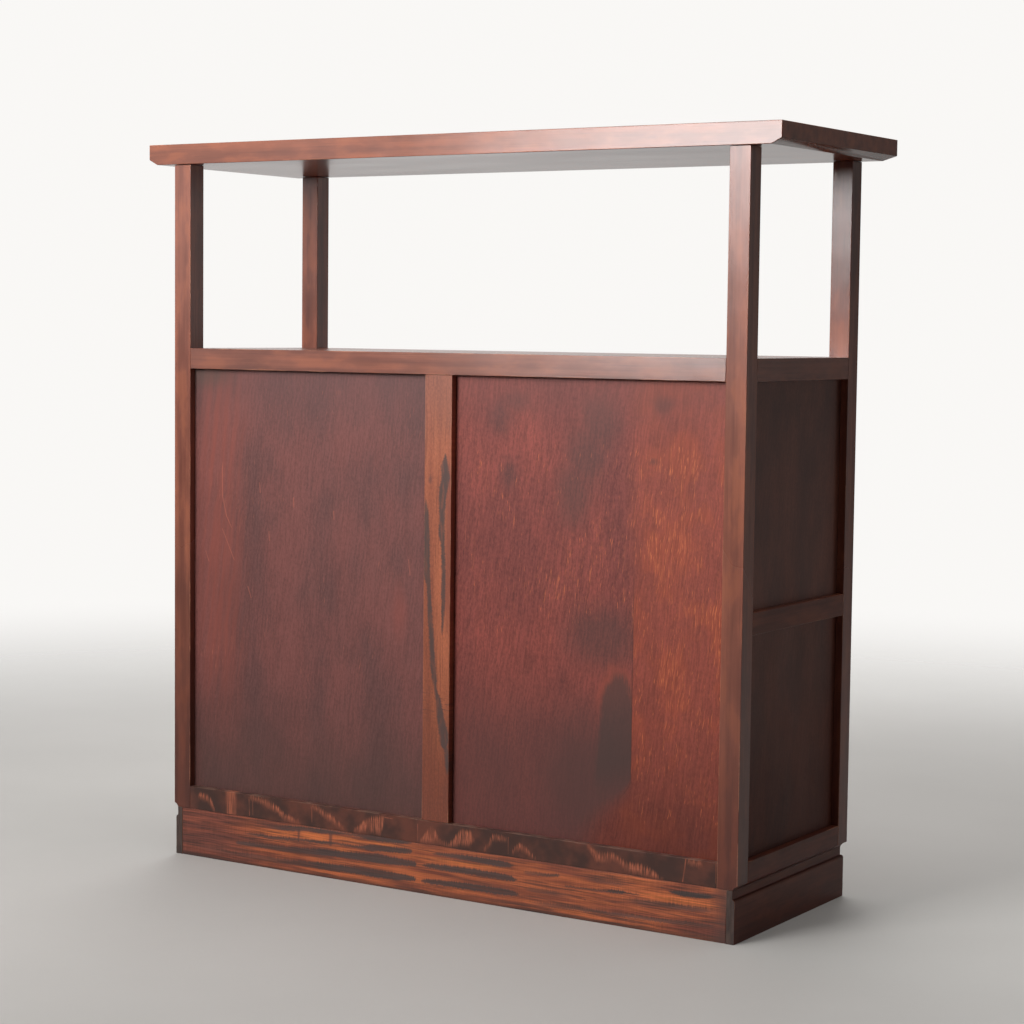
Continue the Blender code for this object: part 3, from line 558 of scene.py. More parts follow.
def patches(graph, rows, soft, rag):
    """The strongest of several oval patches. Each row has a centre and radii, across and up."""
    masks = []
    for row in rows:
        x, z, across, up = (value * MM for value in row)
        masks.append(graph.group(PATCH, centre=(x, 0.0, z), radii=(across, 1.0, up), soft=soft, rag=rag))
    return graph.strongest(masks)


def ribbon(graph, run, side, rows, above, below):
    """A band along a bent line, with soft edges above and below. Each row starts with a place along the band,
    the middle there and half the width."""
    middle = graph.curve(run, [(row[0], row[1] * MM) for row in rows])
    half = graph.curve(run, [(row[0], row[2] * MM) for row in rows])
    off = graph.calc("SUBTRACT", side, middle)
    upper = graph.between(graph.calc("SUBTRACT", off, half), above, -above)
    lower = graph.between(graph.calc("ADD", off, half), -below, below)
    return graph.times(upper, lower, graph.between(half, *RIBBON_STARTS))


def leaning(graph, width, length, shift, detail=4.0, lean=0.13):
    """Noise drawn out along lines that lean a little from upright, so wide and so long."""
    place = graph.place()
    wander = graph.span(graph.noise(place, 24.0, 1.0), -0.004, 0.004)
    x, y, z = graph.split(place)
    across = graph.calc("ADD", graph.calc("MULTIPLY_ADD", z, lean, graph.calc("ADD", x, y)), wander)
    apart = graph.calc("ADD", graph.own("seed"), shift)
    spot = graph.join(graph.calc("DIVIDE", across, width), apart, graph.calc("DIVIDE", z, length))
    return graph.noise(spot, 1.0, detail)


def flecks(graph, cover):
    """Short light dashes and longer threads that lean a little, more of them where cover is high."""
    level = graph.span(cover, 0.78, 0.56)
    dashes = leaning(graph, 0.0011, 0.015, 0.5, 2.0, FLECK_LEAN)
    dashes = graph.between(dashes, level, graph.calc("ADD", level, 0.11))
    threads = leaning(graph, 0.0013, 0.05, 0.3, 2.0, FLECK_LEAN)
    threads = graph.between(threads, level, graph.calc("ADD", level, 0.20))
    return graph.calc("MAXIMUM", dashes, graph.times(threads, 0.7))


def lacquer(name, gloss):
    """Red-brown lacquer, blotched along the grain, darker (partly painted shade) and duller towards the
    floor, with rubbed edges.
    """
    material, graph = new_material(name)
    colour, fibres = wood_figure(graph, tone(120, 67, 53), tone(149, 86, 66), tone(84, 48, 42))
    blotches = streaks(graph, 0.020, 0.062, 6.0)
    colour = shaded(graph, colour, graph.between(blotches, 0.34, 0.66, 0.88, 1.09))
    colour = graph.over(colour, graph.between(blotches, 0.50, 0.66), 0.28, tone(162, 92, 60))
    # Darker towards the floor partly as painted shade, then the piece's tint, which is painted sheen on the
    # rear posts
    colour = graph.mix(1.0, aged_and_shaded(graph, colour), graph.own("tint", "Vector"), "MULTIPLY")
    colour = worn(graph, colour, tone(178, 118, 90), 0.0013, 0.5)
    smears = streaks(graph, 0.12, 0.30, 5.0)
    facing = graph.add("ShaderNodeTexCoord").outputs["Normal"]
    sawn = graph.calc("ABSOLUTE", graph.vector("DOT_PRODUCT", facing, graph.own("grain", "Vector")))
    rough = graph.calc("MULTIPLY_ADD", graph.between(sawn, 0.5, 0.9), 0.16, graph.span(smears, 0.19, 0.29))
    return coat(material, graph, colour, dulled(graph, rough, 0.20), planed(graph, fibres, sawn), 1.0, gloss)


def planed(graph, fibres, sawn):
    """Height of fine fibres on faces that a plane has left gently wavy and, on some pieces, a little out of
    plumb. A sawn end is smoother."""
    place = graph.place()
    waves = graph.noise(place, 16.0, 1.0)
    height = graph.times(waves, graph.span(sawn, PLANED_WAVE, SAWN_WAVE))
    depth = graph.span(sawn, FIBRE_DEPTH, SAWN_FIBRE_DEPTH)
    lean = graph.times(graph.split(place)[2], graph.own("lean"))
    return graph.calc("MULTIPLY_ADD", fibres, depth, graph.calc("SUBTRACT", height, lean))


def veneer():
    """Panels of the sides and doors: brown stained veneer, darker (partly painted shade) and duller towards
    the floor.
    """
    material, graph = new_material("stained_veneer")
    colour, fibres = panel_ground(graph, tone(125, 77, 63), tone(100, 63, 54), 0.14)
    rough = dulled(graph, graph.span(streaks(graph, 0.07, 0.2, 5.0), 0.28, 0.44), 0.25)
    return coat(material, graph, aged_and_shaded(graph, colour), rough, fibres, 0.00010, 0.2)


def panel_ground(graph, plain, dark, mottle):
    """Stained veneer: soft clouds of a darker stain, mottled finely, with fibres that lean a little."""
    place = graph.place()
    clouds = graph.noise(place, (13.0, 13.0, 7.0), 4.0)
    fine = graph.noise(place, (330.0, 330.0, 170.0), 3.0, 0.7)
    fibres = leaning(graph, 0.0025, 0.030, 0.7)
    colour = graph.mix(graph.between(clouds, 0.32, 0.66), dark, plain)
    texture = graph.calc("ADD", graph.times(fine, 0.56), graph.times(fibres, 0.44))
    share = graph.calc("MULTIPLY_ADD", graph.between(texture, 0.34, 0.66, -1.0, 1.0), mottle, 1.0)
    return shaded(graph, colour, share), fibres


def panel_coat(material, graph, colour, fibres):
    """The dull surface of both rear panels."""
    rough = graph.span(streaks(graph, 0.06, 0.18, 5.0), 0.40, 0.58)
    return coat(material, graph, colour, rough, fibres, 0.00015, 0.3)


def seam_between_leaves(graph, place):
    """How far a place lies past the seam, towards the bright leaf, and how sharp the seam is there."""
    x, _, z = graph.split(place)
    wander = graph.span(graph.noise(place, (0.0, 0.0, 40.0), 3.0), -0.0010, 0.0010)
    past = graph.calc("ADD", graph.calc("SUBTRACT", VENEER_SEAM, x), wander)
    past = graph.calc("MULTIPLY_ADD", graph.between(z, 0.200, 0.115), 0.060, past)
    sharp = graph.times(graph.between(z, 0.54, 0.42), graph.between(z, 0.150, 0.205))
    return past, sharp


def fleck_cover(graph, place, on_leaf, dry, marked):
    """How thickly light flecks lie on the two leaves: most on the bright one, and none on a dark mark."""
    x, _, z = graph.split(place)
    below_top = graph.between(z, 0.73, 0.60)
    heights = graph.times(graph.between(z, 0.26, 0.46), below_top)
    leaf_heights = graph.times(on_leaf, graph.between(z, 0.10, 0.17), below_top)
    thick = graph.calc("MAXIMUM", on_leaf, graph.between(x, -0.02, -0.30, 0.62, 0.95))
    thick = graph.times(thick, graph.calc("MAXIMUM", heights, leaf_heights))
    patchy = graph.between(dry, 0.34, 0.66, 0.56, 0.98)
    return graph.times(thick, patchy, graph.calc("SUBTRACT", 1.0, marked))


def patched_panel():
    """The rear panel behind the left door: two leaves of veneer, with a dark stain against their seam."""
    material, graph = new_material("patched_rear_panel")
    place = graph.place()
    z = graph.split(place)[2]
    past_seam, sharp = seam_between_leaves(graph, place)
    on_leaf = graph.between(past_seam, graph.span(sharp, -0.03, -0.0006), graph.span(sharp, 0.03, 0.0006))
    ground, fibres = panel_ground(graph, tone(132, 64, 55), tone(116, 57, 51), 0.32)
    dry = graph.noise(place, 22.0, 3.0)
    orange = shaded(graph, tone(156, 72, 46), graph.span(fibres, 0.60, 1.40))
    leaf = graph.mix(graph.between(dry, 0.40, 0.66, 0.28, 0.62), ground, orange)
    leaf = shaded(graph, leaf, graph.between(z, 0.27, 0.12, 1.0, 0.62))
    colour = graph.over(ground, graph.between(z, 0.38, 0.19), 0.7, tone(90, 56, 52))
    smears = patches(graph, DARK_SMEARS, 0.7, 0.25)
    colour = graph.over(colour, smears, 0.6, tone(80, 55, 51))
    halo = graph.times(patches(graph, STAIN_HALO, 0.16, 0.22), graph.between(z, 0.27, 0.325))
    colour = graph.over(colour, halo, 0.5, tone(156, 76, 58))
    stain = graph.times(patches(graph, DARK_STAIN, 0.15, 0.16), graph.between(z, 0.155, 0.225))
    colour = graph.over(colour, stain, 0.77, tone(72, 54, 50))
    colour = graph.mix(on_leaf, colour, leaf)
    seam = graph.times(graph.between(graph.calc("ABSOLUTE", past_seam), 0.0014, 0.0003), sharp)
    colour = graph.over(colour, seam, 0.5, tone(66, 38, 34))
    colour = graph.over(colour, patches(graph, DARK_SPOTS, 0.9, 0.5), 0.5, tone(66, 48, 46))
    colour = graph.over(colour, graph.between(z, 0.64, 0.735), 0.4, tone(110, 66, 61))
    marked = graph.calc("MAXIMUM", stain, graph.times(smears, 0.5))
    light = flecks(graph, fleck_cover(graph, place, on_leaf, dry, marked))
    colour = graph.over(colour, light, 0.72, tone(206, 112, 70))
    return panel_coat(material, graph, colour, fibres)


def banded_panel():
    """The rear panel behind the right door: dull maroon, redder near its post, with a few scratches."""
    material, graph = new_material("banded_rear_panel")
    place = graph.place()
    x, _, z = graph.split(place)
    colour, fibres = panel_ground(graph, tone(116, 69, 64), tone(97, 62, 59), 0.20)
    band = graph.times(graph.between(x, 0.325, 0.395), graph.between(x, 0.452, 0.410))
    brushed = graph.between(leaning(graph, 0.009, 0.22, 0.9), 0.36, 0.62, 0.35, 1.0)
    band = graph.times(band, graph.between(z, 0.14, 0.36), brushed)
    colour = graph.over(colour, band, 0.74, tone(136, 70, 59))
    colour = graph.over(colour, graph.between(z, 0.62, 0.73), 0.35, tone(92, 68, 67))
    colour = graph.over(colour, patches(graph, RED_PATCH, 0.8, 0.3), 0.4, tone(142, 74, 64))
    colour = graph.over(colour, patches(graph, DARK_CORNER, 0.7, 0.2), 0.55, tone(76, 64, 56))
    colour = graph.over(colour, graph.between(z, 0.30, 0.11), 0.55, tone(76, 57, 52))
    colour = graph.over(colour, strokes(graph, SCRATCHES, 0.0006), 0.5, tone(182, 102, 80))
    dry = graph.between(graph.noise(place, 14.0, 3.0), 0.34, 0.66)
    cover = graph.times(dry, graph.span(band, 0.62, 0.90), graph.between(z, 0.14, 0.30))
    colour = graph.over(colour, flecks(graph, cover), 0.5, tone(170, 98, 78))
    return panel_coat(material, graph, colour, fibres)


def veined_stile():
    """The rear stile: orange-brown, with dark veins that wander up it."""
    material, graph = new_material("veined_stile")
    place = graph.place()
    x, _, z = graph.split(place)
    colour, fibres = wood_figure(graph, tone(140, 76, 54), tone(172, 97, 66), tone(108, 62, 48))
    colour = shaded(graph, colour, graph.between(z, 0.36, 0.14, 1.0, 0.62))
    colour = graph.over(colour, graph.between(z, 0.32, 0.14), 0.5, tone(122, 58, 42))
    colour = graph.over(colour, graph.between(z, 0.60, 0.73), 0.6, tone(134, 80, 65))
    pores = graph.noise(place, (420.0, 0.0, 210.0), 3.0, 0.7)
    colour = shaded(graph, colour, graph.between(pores, 0.34, 0.66, 0.84, 1.14))
    threads = streaks(graph, 0.0022, 0.06, 4.0, 2.0)
    colour = graph.over(colour, graph.between(threads, 0.46, 0.32), 0.5, tone(100, 54, 42))
    heights = graph.times(graph.between(z, 0.36, 0.42), graph.between(z, 0.64, 0.58))
    strip = graph.times(graph.between(x, -0.0100, -0.0165), heights)
    colour = graph.over(colour, strip, 0.6, tone(124, 64, 51))
    ripples = graph.noise(place, (60.0, 0.0, 380.0), 2.0)
    side = graph.calc("ADD", x, graph.span(ripples, -0.0022, 0.0022))
    veins = graph.strongest([ribbon(graph, z, side, rows, RIBBON_SOFT, RIBBON_SOFT) for rows in STILE_VEINS])
    depth = graph.between(graph.noise(place, (190.0, 0.0, 45.0), 3.0), 0.32, 0.58, 0.72, 1.0)
    colour = graph.mix(graph.times(veins, depth), colour, tone(82, 60, 55))
    heights = graph.times(graph.between(z, 0.235, 0.262), graph.between(z, 0.305, 0.280))
    waves = graph.times(heights, graph.between(ripples, 0.52, 0.66))
    colour = graph.over(colour, waves, 0.55, tone(92, 58, 50))
    colour = graph.over(colour, patches(graph, STILE_KNOT, 0.6, 0.3), 0.6, tone(88, 54, 50))
    colour = worn(graph, colour, tone(196, 136, 106), 0.0014, 0.5)
    rough = graph.span(streaks(graph, 0.05, 0.16, 5.0), 0.28, 0.44)
    return coat(material, graph, colour, rough, fibres, 0.00010)


def scraped_rail():
    """The rear bottom rail: blackish stain, scraped back to orange wood in strokes and fans."""
    material, graph = new_material("scraped_rail")
    place = graph.place()
    x, _, z = graph.split(place)
    fibres = streaks(graph, 0.0016, 0.05, 3.0)
    clouds = graph.noise(place, 26.0, 3.0)
    colour = graph.mix(graph.between(clouds, 0.35, 0.7), tone(70, 47, 41), tone(106, 61, 49))
    upright = graph.noise(place, (480.0, 0.0, 30.0), 2.0)
    comb = graph.between(upright, 0.62, 0.40)
    height = graph.calc("ADD", z, graph.span(upright, -0.0065, 0.0065))
    band = ribbon(graph, x, height, RAIL_BANDS, 0.0036, 0.0058)
    hairs = graph.noise(place, (1150.0, 0.0, 70.0), 1.0)
    broad = graph.times(band, graph.span(comb, 0.25, 1.0), graph.between(hairs, 0.38, 0.60, 0.18, 1.0))
    fine = graph.times(strokes(graph, RAIL_LINES, MARK_RAG), graph.span(comb, 0.22, 0.66))
    scraped = graph.calc("MAXIMUM", broad, fine)
    colour = graph.mix(scraped, colour, shaded(graph, tone(194, 110, 80), graph.span(fibres, 0.75, 1.25)))
    # Painted highlight: a pale line along the rail's top arris, broken up by the rubbed noise
    rubbed = graph.between(graph.noise(place, 30.0, 3.0), 0.44, 0.62)
    arris_highlight = graph.times(graph.between(z, RAIL_TOP - 0.0012, RAIL_TOP - 0.0004), rubbed)
    colour = graph.over(colour, arris_highlight, 0.3, tone(160, 124, 106))
    height = graph.calc("SUBTRACT", graph.times(fibres, 0.4), scraped)
    return coat(material, graph, colour, graph.span(scraped, 0.36, 0.58), height, 0.00016, 0.3)


def ribbon_board():
    """The rear plinth board: raw orange wood with dark ribbons whose edges are finely toothed."""
    material, graph = new_material("ribbon_board")
    place = graph.place()
    x, _, z = graph.split(place)
    fibres = streaks(graph, 0.0012, 0.05, 3.0)
    bands = streaks(graph, 0.009, 0.16, 1.0)
    glow = graph.noise(place, (11.0, 0.0, 46.0), 2.0)
    lively = graph.calc("ADD", graph.times(bands, 0.6), graph.times(glow, 0.4))
    colour = graph.mix(graph.between(lively, 0.36, 0.62), tone(118, 58, 42), tone(190, 100, 57))
    dull = graph.mix(graph.between(bands, 0.34, 0.66), tone(104, 55, 44), tone(138, 71, 51))
    colour = graph.mix(graph.between(x, 0.25, 0.40), colour, dull)
    colour = graph.over(colour, patches(graph, PLINTH_BLOCKS, 0.6, 0.3), 0.7, tone(212, 116, 60))
    teeth = graph.noise(place, (560.0, 0.0, 34.0), 2.0)
    height = graph.calc("ADD", z, graph.span(teeth, -0.0028, 0.0028))
    ribbons = []
    for rows in PLINTH_RIBBONS:
        shape = ribbon(graph, x, height, rows, RIBBON_SOFT, RIBBON_SOFT)
        dark = graph.curve(x, [(row[0], row[3]) for row in rows])
        ribbons.append(graph.times(shape, graph.times(dark, graph.between(x, -0.14, -0.20, 1.0, 1.6))))
    colour = graph.over(colour, graph.strongest(ribbons), 0.95, tone(74, 57, 53))
    threads = streaks(graph, 0.0042, 0.10, 4.0)
    colour = graph.over(colour, graph.between(threads, 0.50, 0.34), 0.75, tone(88, 51, 42))
    grain = graph.calc("ADD", graph.times(fibres, 0.8), graph.times(teeth, 0.2))
    coarse = graph.between(graph.calc("ABSOLUTE", x), 0.16, 0.36)
    light = graph.between(grain, 0.32, 0.68, graph.span(coarse, 0.68, 0.46), graph.span(coarse, 1.18, 1.40))
    colour = shaded(graph, colour, light)
    colour = graph.over(colour, strokes(graph, PLINTH_MARKS, MARK_RAG), 0.7, tone(80, 52, 48))
    # Painted shadow: a dark line along the foot of the board, where it stands on the floor
    colour = graph.over(colour, graph.between(z, 0.007, 0.001), 0.7, tone(50, 36, 32))
    colour = graph.over(colour, graph.between(x, -0.428, -0.458), 0.75, tone(84, 54, 48))
    return coat(material, graph, colour, graph.span(fibres, 0.42, 0.66), fibres, 0.00014)


def inner_wood():
    """Unlacquered boards and blocks inside."""
    material, graph = new_material("plain_inner_wood")
    colour, fibres = wood_figure(graph, tone(140, 105, 78), tone(172, 134, 100), tone(112, 84, 64))
    colour = worn(graph, colour, tone(120, 92, 72), 0.003, 0.6)
    return coat(material, graph, colour, graph.span(fibres, 0.6, 0.85), fibres, 0.0002)


def end_grain():
    """The sawn ends of the moulded side boards, grey-brown and open-pored."""
    material, graph = new_material("end_grain")
    place = graph.place()
    pores = graph.add("ShaderNodeTexVoronoi", {"Vector": place, "Scale": 900.0}).outputs["Distance"]
    rings = graph.noise(place, (260.0, 260.0, 40.0), 3.0)
    colour = graph.mix(graph.between(rings, 0.3, 0.7), tone(60, 45, 40), tone(86, 66, 58))
    colour = shaded(graph, colour, graph.between(pores, 0.1, 0.4, 0.7, 1.0))
    return coat(material, graph, colour, graph.span(rings, 0.62, 0.82), pores, 0.0002)


def aged_brass():
    """Old brass: brown in the hollows, brighter where hands rub it, with fine scratches."""
    material, graph = new_material("aged_brass")
    place = graph.place()
    tarnish = graph.noise(place, 90.0, 4.0)
    spots = graph.noise(place, 900.0, 2.0)
    scratches = graph.noise(place, (2600.0, 400.0, 180.0), 2.0)
    colour = graph.mix(graph.between(tarnish, 0.35, 0.68), tone(128, 100, 62), tone(176, 142, 86))
    colour = graph.over(colour, graph.between(spots, 0.6, 0.75), 0.6, tone(84, 66, 46))
    colour = worn(graph, colour, tone(214, 182, 122), 0.0007, 0.9)
    rough = graph.span(tarnish, 0.48, 0.24)
    return coat(material, graph, colour, rough, scratches, 0.00003, metallic=1.0)


FINISH = {
    "lacquered_wood": lacquer("red_brown_lacquer", 0.5),
    "stained_veneer": veneer(),
    "scraped_wood": ribbon_board(),
    "inner_wood": inner_wood(),
    "aged_brass": aged_brass(),
}
OWN_FINISH = {
    "rear_panel_left": patched_panel(),
    "rear_panel_right": banded_panel(),
    "rear_mid_stile": veined_stile(),
    "rear_bottom_rail": scraped_rail(),
}
DULL_LACQUER = lacquer("dull_lacquer", 0.18)
DULL_PIECES = (
    "left_mid_rail", "left_bottom_rail", "right_mid_rail", "right_bottom_rail", "front_bottom_rail",
    "plinth_left", "plinth_right", "plinth_front",
)
END_GRAIN = end_grain()


# Pieces

SUBPARTS = {row["node"]: row["material_slot"] for row in frame["record"]["subparts"]}
BODY_OF = {node: body for body, nodes in frame["record"]["behaviour"]["bodies"].items() for node in nodes}


def is_arris(edge, least):
    if len(edge.link_faces) != 2 or not edge.is_convex:
        return False
    return edge.calc_face_angle() > ARRIS_TURN and edge.calc_length() > least


def crease(bm, turn):
    """Keeps bends sharper than a turn from being shaded as one round surface."""
    for edge in bm.edges:
        if len(edge.link_faces) == 2 and edge.calc_face_angle() > turn:
            edge.smooth = False


def eased(node, width, least, bend):
    """A merged copy of a node's mesh with its long outer edges rounded over."""
    bm = bmesh.new()
    bm.from_mesh(frame["nodes"][node].data)
    bmesh.ops.remove_doubles(bm, verts=bm.verts, dist=WELD)
    bmesh.ops.dissolve_limit(bm, angle_limit=FLAT_TURN, verts=bm.verts, edges=bm.edges)
    crease(bm, bend)
    edges = [edge for edge in bm.edges if is_arris(edge, least)]
    for edge in edges:
        edge.smooth = True
    bmesh.ops.bevel(
        bm, geom=edges, offset=width, segments=2, profile=0.5, affect="EDGES", material=-1,
        clamp_overlap=True,
    )
    crease(bm, SHARP_TURN)
    return bm


def grain_of(node):
    """Along the piece, and upright in a panel."""
    low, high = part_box(node)
    size = high - low
    longest = 2 if "panel" in node else max(range(3), key=lambda axis: size[axis])
    return Vector([float(axis == longest) for axis in range(3)])


def carry(mesh, name, value):
    """Stores one value for the whole piece as an attribute that its material reads."""
    single = isinstance(value, float)
    attribute = mesh.attributes.new(name, "FLOAT" if single else "FLOAT_VECTOR", "POINT")
    for item in attribute.data:
        if single:
            item.value = value
        else:
            item.vector = value


def describe(mesh, node, seed, grain):
    """What a piece's grain and edge wear are worked out from."""
    low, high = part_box(node)
    carry(mesh, "grain", grain)
    carry(mesh, "seed", seed)
    carry(mesh, "low", low)
    carry(mesh, "high", high)


def finish_piece(bm, name, body, material):
    """Makes a piece of a bmesh, which moves with a body and takes its finish from a slot."""
    mesh = bpy.data.meshes.new(name)
    bm.to_mesh(mesh)
    bm.free()
    mesh.materials.append(material)
    for face in mesh.polygons:
        face.use_smooth = True
    piece = bpy.data.objects.new(name, mesh)
    bpy.context.scene.collection.objects.link(piece)
    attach(piece, body)
    return piece


def dress(node, seed):
    material_slot = SUBPARTS[node]
    if material_slot == "aged_brass":
        bm = eased(node, BRASS_ARRIS, BRASS_EDGE_LENGTH, SHARP_TURN)
    else:
        bm = eased(node, WOOD_ARRIS, WOOD_EDGE_LENGTH, WOOD_BEND)
    plain = DULL_LACQUER if node in DULL_PIECES else FINISH[material_slot]
    material = OWN_FINISH.get(node, plain)
    piece = finish_piece(bm, node + "_finished", BODY_OF[node], material)
    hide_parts(node)
    if node in ("plinth_left", "plinth_right"):
        piece.data.materials.append(END_GRAIN)
        for face in piece.data.polygons:
            face.material_index = int(face.normal.y > END_FACING)
    if node in OWN_FINISH:
        piece.data.materials.append(FINISH[material_slot])
        for face in piece.data.polygons:
            face.material_index = int(face.normal.y < -END_FACING)
    describe(piece.data, node, seed, grain_of(node))
    carry(piece.data, "tint", TONE_AND_SHEEN_TINTS.get(node, (1.0, 1.0, 1.0)))
    carry(piece.data, "lean", LEANS.get(node, 0.0))
    piece.modifiers.new("face_weights", "WEIGHTED_NORMAL").keep_sharp = True


def turned(bm, outline, centre):
    """Spins an outline of radii and heights about a line towards the front, through a centre."""
    spots = [bm.verts.new(centre + Vector((radius, -height, 0.0))) for radius, height in outline]
    edges = [bm.edges.new(pair) for pair in zip(spots, spots[1:])]
    bmesh.ops.spin(
        bm, geom=spots + edges, cent=centre, axis=(0.0, 1.0, 0.0), angle=math.tau, steps=HEAD_STEPS,
        use_merge=True,
    )


def head_outline(dome, radius, proud):
    """From the top of a head's dome over its edge to the middle of its underside, in radii and heights."""
    top = [(radius * out, proud * up) for out, up in dome]
    return top + [(radius, -HEAD_SUNK), (0.0, -HEAD_SUNK)]


def screw_head(bm, centre, turn):
    """A slotted screw head, a little proud of the brass."""
    head = bmesh.new()
    turned(head, head_outline(SCREW_DOME, SCREW_RADIUS, SCREW_PROUD), Vector())
    bmesh.ops.remove_doubles(head, verts=head.verts, dist=WELD)
    for side in (-1.0, 1.0):
        geom = head.verts[:] + head.edges[:] + head.faces[:]
        cut = (side * SLOT_WIDTH / 2, 0.0, 0.0)
        bmesh.ops.bisect_plane(head, geom=geom, plane_co=cut, plane_no=(1.0, 0.0, 0.0))
    bmesh.ops.recalc_face_normals(head, faces=head.faces)
    top = [
        face for face in head.faces
        if face.normal.y < -0.1 and abs(face.calc_center_median().x) < SLOT_WIDTH / 2
    ]
    sunk = bmesh.ops.extrude_face_region(head, geom=top)
    bmesh.ops.delete(head, geom=top, context="FACES_ONLY")
    floor = [item for item in sunk["geom"] if isinstance(item, bmesh.types.BMVert)]
    bmesh.ops.translate(head, verts=floor, vec=(0.0, SLOT_DEPTH, 0.0))
    bmesh.ops.recalc_face_normals(head, faces=head.faces)
    seat = Matrix.Translation(centre) @ Matrix.Rotation(turn, 4, "Y")
    bmesh.ops.transform(head, matrix=seat, verts=head.verts)
    mesh = bpy.data.meshes.new("screw_head")
    head.to_mesh(mesh)
    head.free()
    bm.from_mesh(mesh)
    bpy.data.meshes.remove(mesh)


def fasteners(bm, node, name, seed):
    """One piece of all the screws or pins that hold a brass part, which moves with it."""
    bmesh.ops.remove_doubles(bm, verts=bm.verts, dist=WELD)
    bmesh.ops.recalc_face_normals(bm, faces=bm.faces)
    crease(bm, SHARP_TURN)
    piece = finish_piece(bm, node + name, BODY_OF[node], FINISH[SUBPARTS[node]])
    describe(piece.data, node, seed, Vector((0.0, 0.0, 1.0)))


def screw_leaf(node, seed):
    """Three screws down the flat of a hinge leaf, their slots turned differently."""
    low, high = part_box(node)
    inner, outer = sorted((low.x, high.x), key=abs)
    knuckle = KNUCKLE_REACH if "post_leaf" in node else -KNUCKLE_REACH
    across = math.copysign((abs(inner) + abs(outer)) / 2 + knuckle, inner)
    middle = (low.z + high.z) / 2
    bm = bmesh.new()
    for number, step in enumerate((-SCREW_PITCH, 0.0, SCREW_PITCH)):
        centre = Vector((across, high.y - LEAF_THICKNESS, middle + step))
        screw_head(bm, centre, LEAF_TURN * seed + SLOT_TURN * number)
    fasteners(bm, node, "_screws", seed)


def pin_plate(node, seed):
    """Four pins round a pull's plate."""
    low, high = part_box(node)
    middle = (low + high) / 2
    bm = bmesh.new()
    for quarter in range(4):
        angle = math.radians(45 + 90 * quarter)
        place = Vector((math.cos(angle), 0.0, math.sin(angle))) * PIN_CIRCLE
        centre = Vector((middle.x, high.y - PLATE_AT_PINS, middle.z)) + place
        turned(bm, head_outline(PIN_DOME, PIN_RADIUS, PIN_PROUD), centre)
    fasteners(bm, node, "_pins", seed)


for number, node in enumerate(sorted(SUBPARTS)):
    dress(node, float(number))
    if node.endswith("_leaf"):
        screw_leaf(node, float(number))
    if node.startswith("pull_plate"):
        pin_plate(node, float(number))


# Studio

def make_camera():
    data = bpy.data.cameras.new("camera")
    data.lens = CAMERA_LENS
    camera = bpy.data.objects.new("camera", data)
    bpy.context.scene.collection.objects.link(camera)
    aim = (CAMERA_AIM - CAMERA_PLACE).to_track_quat("-Z", "Y").to_matrix()
    turn = aim @ Matrix.Rotation(CAMERA_ROLL, 3, "Z")
    camera.matrix_world = Matrix.Translation(CAMERA_PLACE) @ turn.to_4x4()
    bpy.context.scene.camera = camera


def softbox(name, place, aim, size, watts, spread, mirrored=True):
    """A soft pane of light that the camera doesn't see. Glossy faces show it only where it is mirrored."""
    data = bpy.data.lights.new(name, "AREA")
    data.shape = "RECTANGLE"
    data.size, data.size_y = size
    data.energy = watts
    data.spread = spread
    lamp = bpy.data.objects.new(name, data)
    bpy.context.scene.collection.objects.link(lamp)
    lamp.location = place
    lamp.rotation_euler = (aim - place).to_track_quat("-Z", "Y").to_euler()
    lamp.visible_camera = False
    lamp.visible_glossy = mirrored


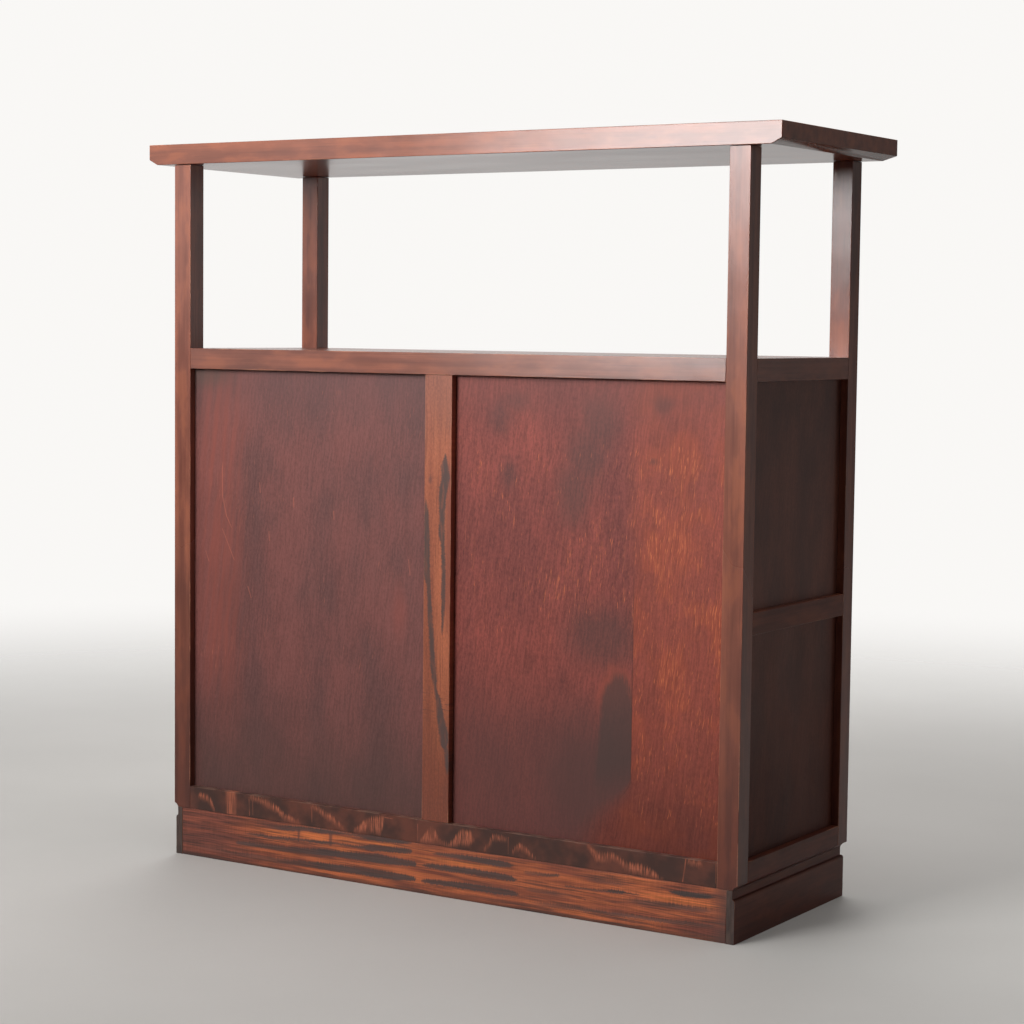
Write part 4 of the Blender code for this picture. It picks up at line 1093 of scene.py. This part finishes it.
def make_room():
    """A pale surround for the camera. The shelf itself sees two pale screens, and dim light between them."""
    world = bpy.data.worlds.new("studio")
    bpy.context.scene.world = world
    world.use_nodes = True
    graph = Graph(world.node_tree)
    background = world.node_tree.nodes["Background"]
    way = graph.add("ShaderNodeTexCoord").outputs["Generated"]
    pale = [graph.between(graph.vector("DOT_PRODUCT", way, to), edge, full) for to, edge, full in SCREENS]
    level = graph.span(graph.strongest(pale), BACKDROP_DIM, BACKDROP_PALE)
    rays = graph.add("ShaderNodeLightPath").outputs
    mirrored = graph.calc("MAXIMUM", rays["Is Glossy Ray"], rays["Is Transmission Ray"])
    level = graph.times(level, graph.span(mirrored, SOFT_LIGHT_SHARE, 1.0))
    level = graph.calc("MAXIMUM", level, graph.times(rays["Is Camera Ray"], BACKDROP_PALE))
    background.inputs["Color"].default_value = BACKDROP_COLOUR
    graph.feed(background.inputs["Strength"], level)


def make_floor():
    """A plain pale floor that fades out, and throws less light on the shelf than it shows to the camera."""
    bm = bmesh.new()
    bmesh.ops.create_circle(bm, cap_ends=True, segments=FLOOR_SIDES, radius=FLOOR_RADIUS)
    mesh = bpy.data.meshes.new("floor")
    bm.to_mesh(mesh)
    bm.free()
    floor = bpy.data.objects.new("floor", mesh)
    bpy.context.scene.collection.objects.link(floor)
    material, graph = new_material("pale_floor")
    shader = shader_of(material)
    place = graph.place()
    mottle = graph.noise(place, 3.0, 4.0)
    rays = graph.add("ShaderNodeLightPath").outputs
    seen = graph.strongest([rays[name] for name in ("Is Camera Ray", "Is Glossy Ray", "Is Transmission Ray")])
    pale = graph.mix(mottle, tone(192, 189, 185), tone(202, 199, 195))
    graph.feed(shader.inputs["Base Color"], graph.mix(seen, tone(108, 106, 104), pale))
    shader.inputs["Roughness"].default_value = FLOOR_ROUGHNESS
    away = graph.vector("LENGTH", place)
    graph.feed(shader.inputs["Alpha"], graph.between(away, FLOOR_FADE[1], FLOOR_FADE[0]))
    mesh.materials.append(material)


make_camera()
softbox("key_light", KEY_PLACE, KEY_AIM, KEY_SIZE, KEY_WATTS, KEY_SPREAD)
softbox("return_light", RETURN_PLACE, LIGHT_AIM, RETURN_SIZE, RETURN_WATTS, WIDE)
softbox("fill_light", FILL_PLACE, LIGHT_AIM, FILL_SIZE, FILL_WATTS, WIDE, mirrored=False)
softbox("top_light", TOP_PLACE, TOP_AIM, TOP_SIZE, TOP_WATTS, TOP_SPREAD)
make_room()
make_floor()
bpy.context.scene.view_settings.view_transform = "Standard"
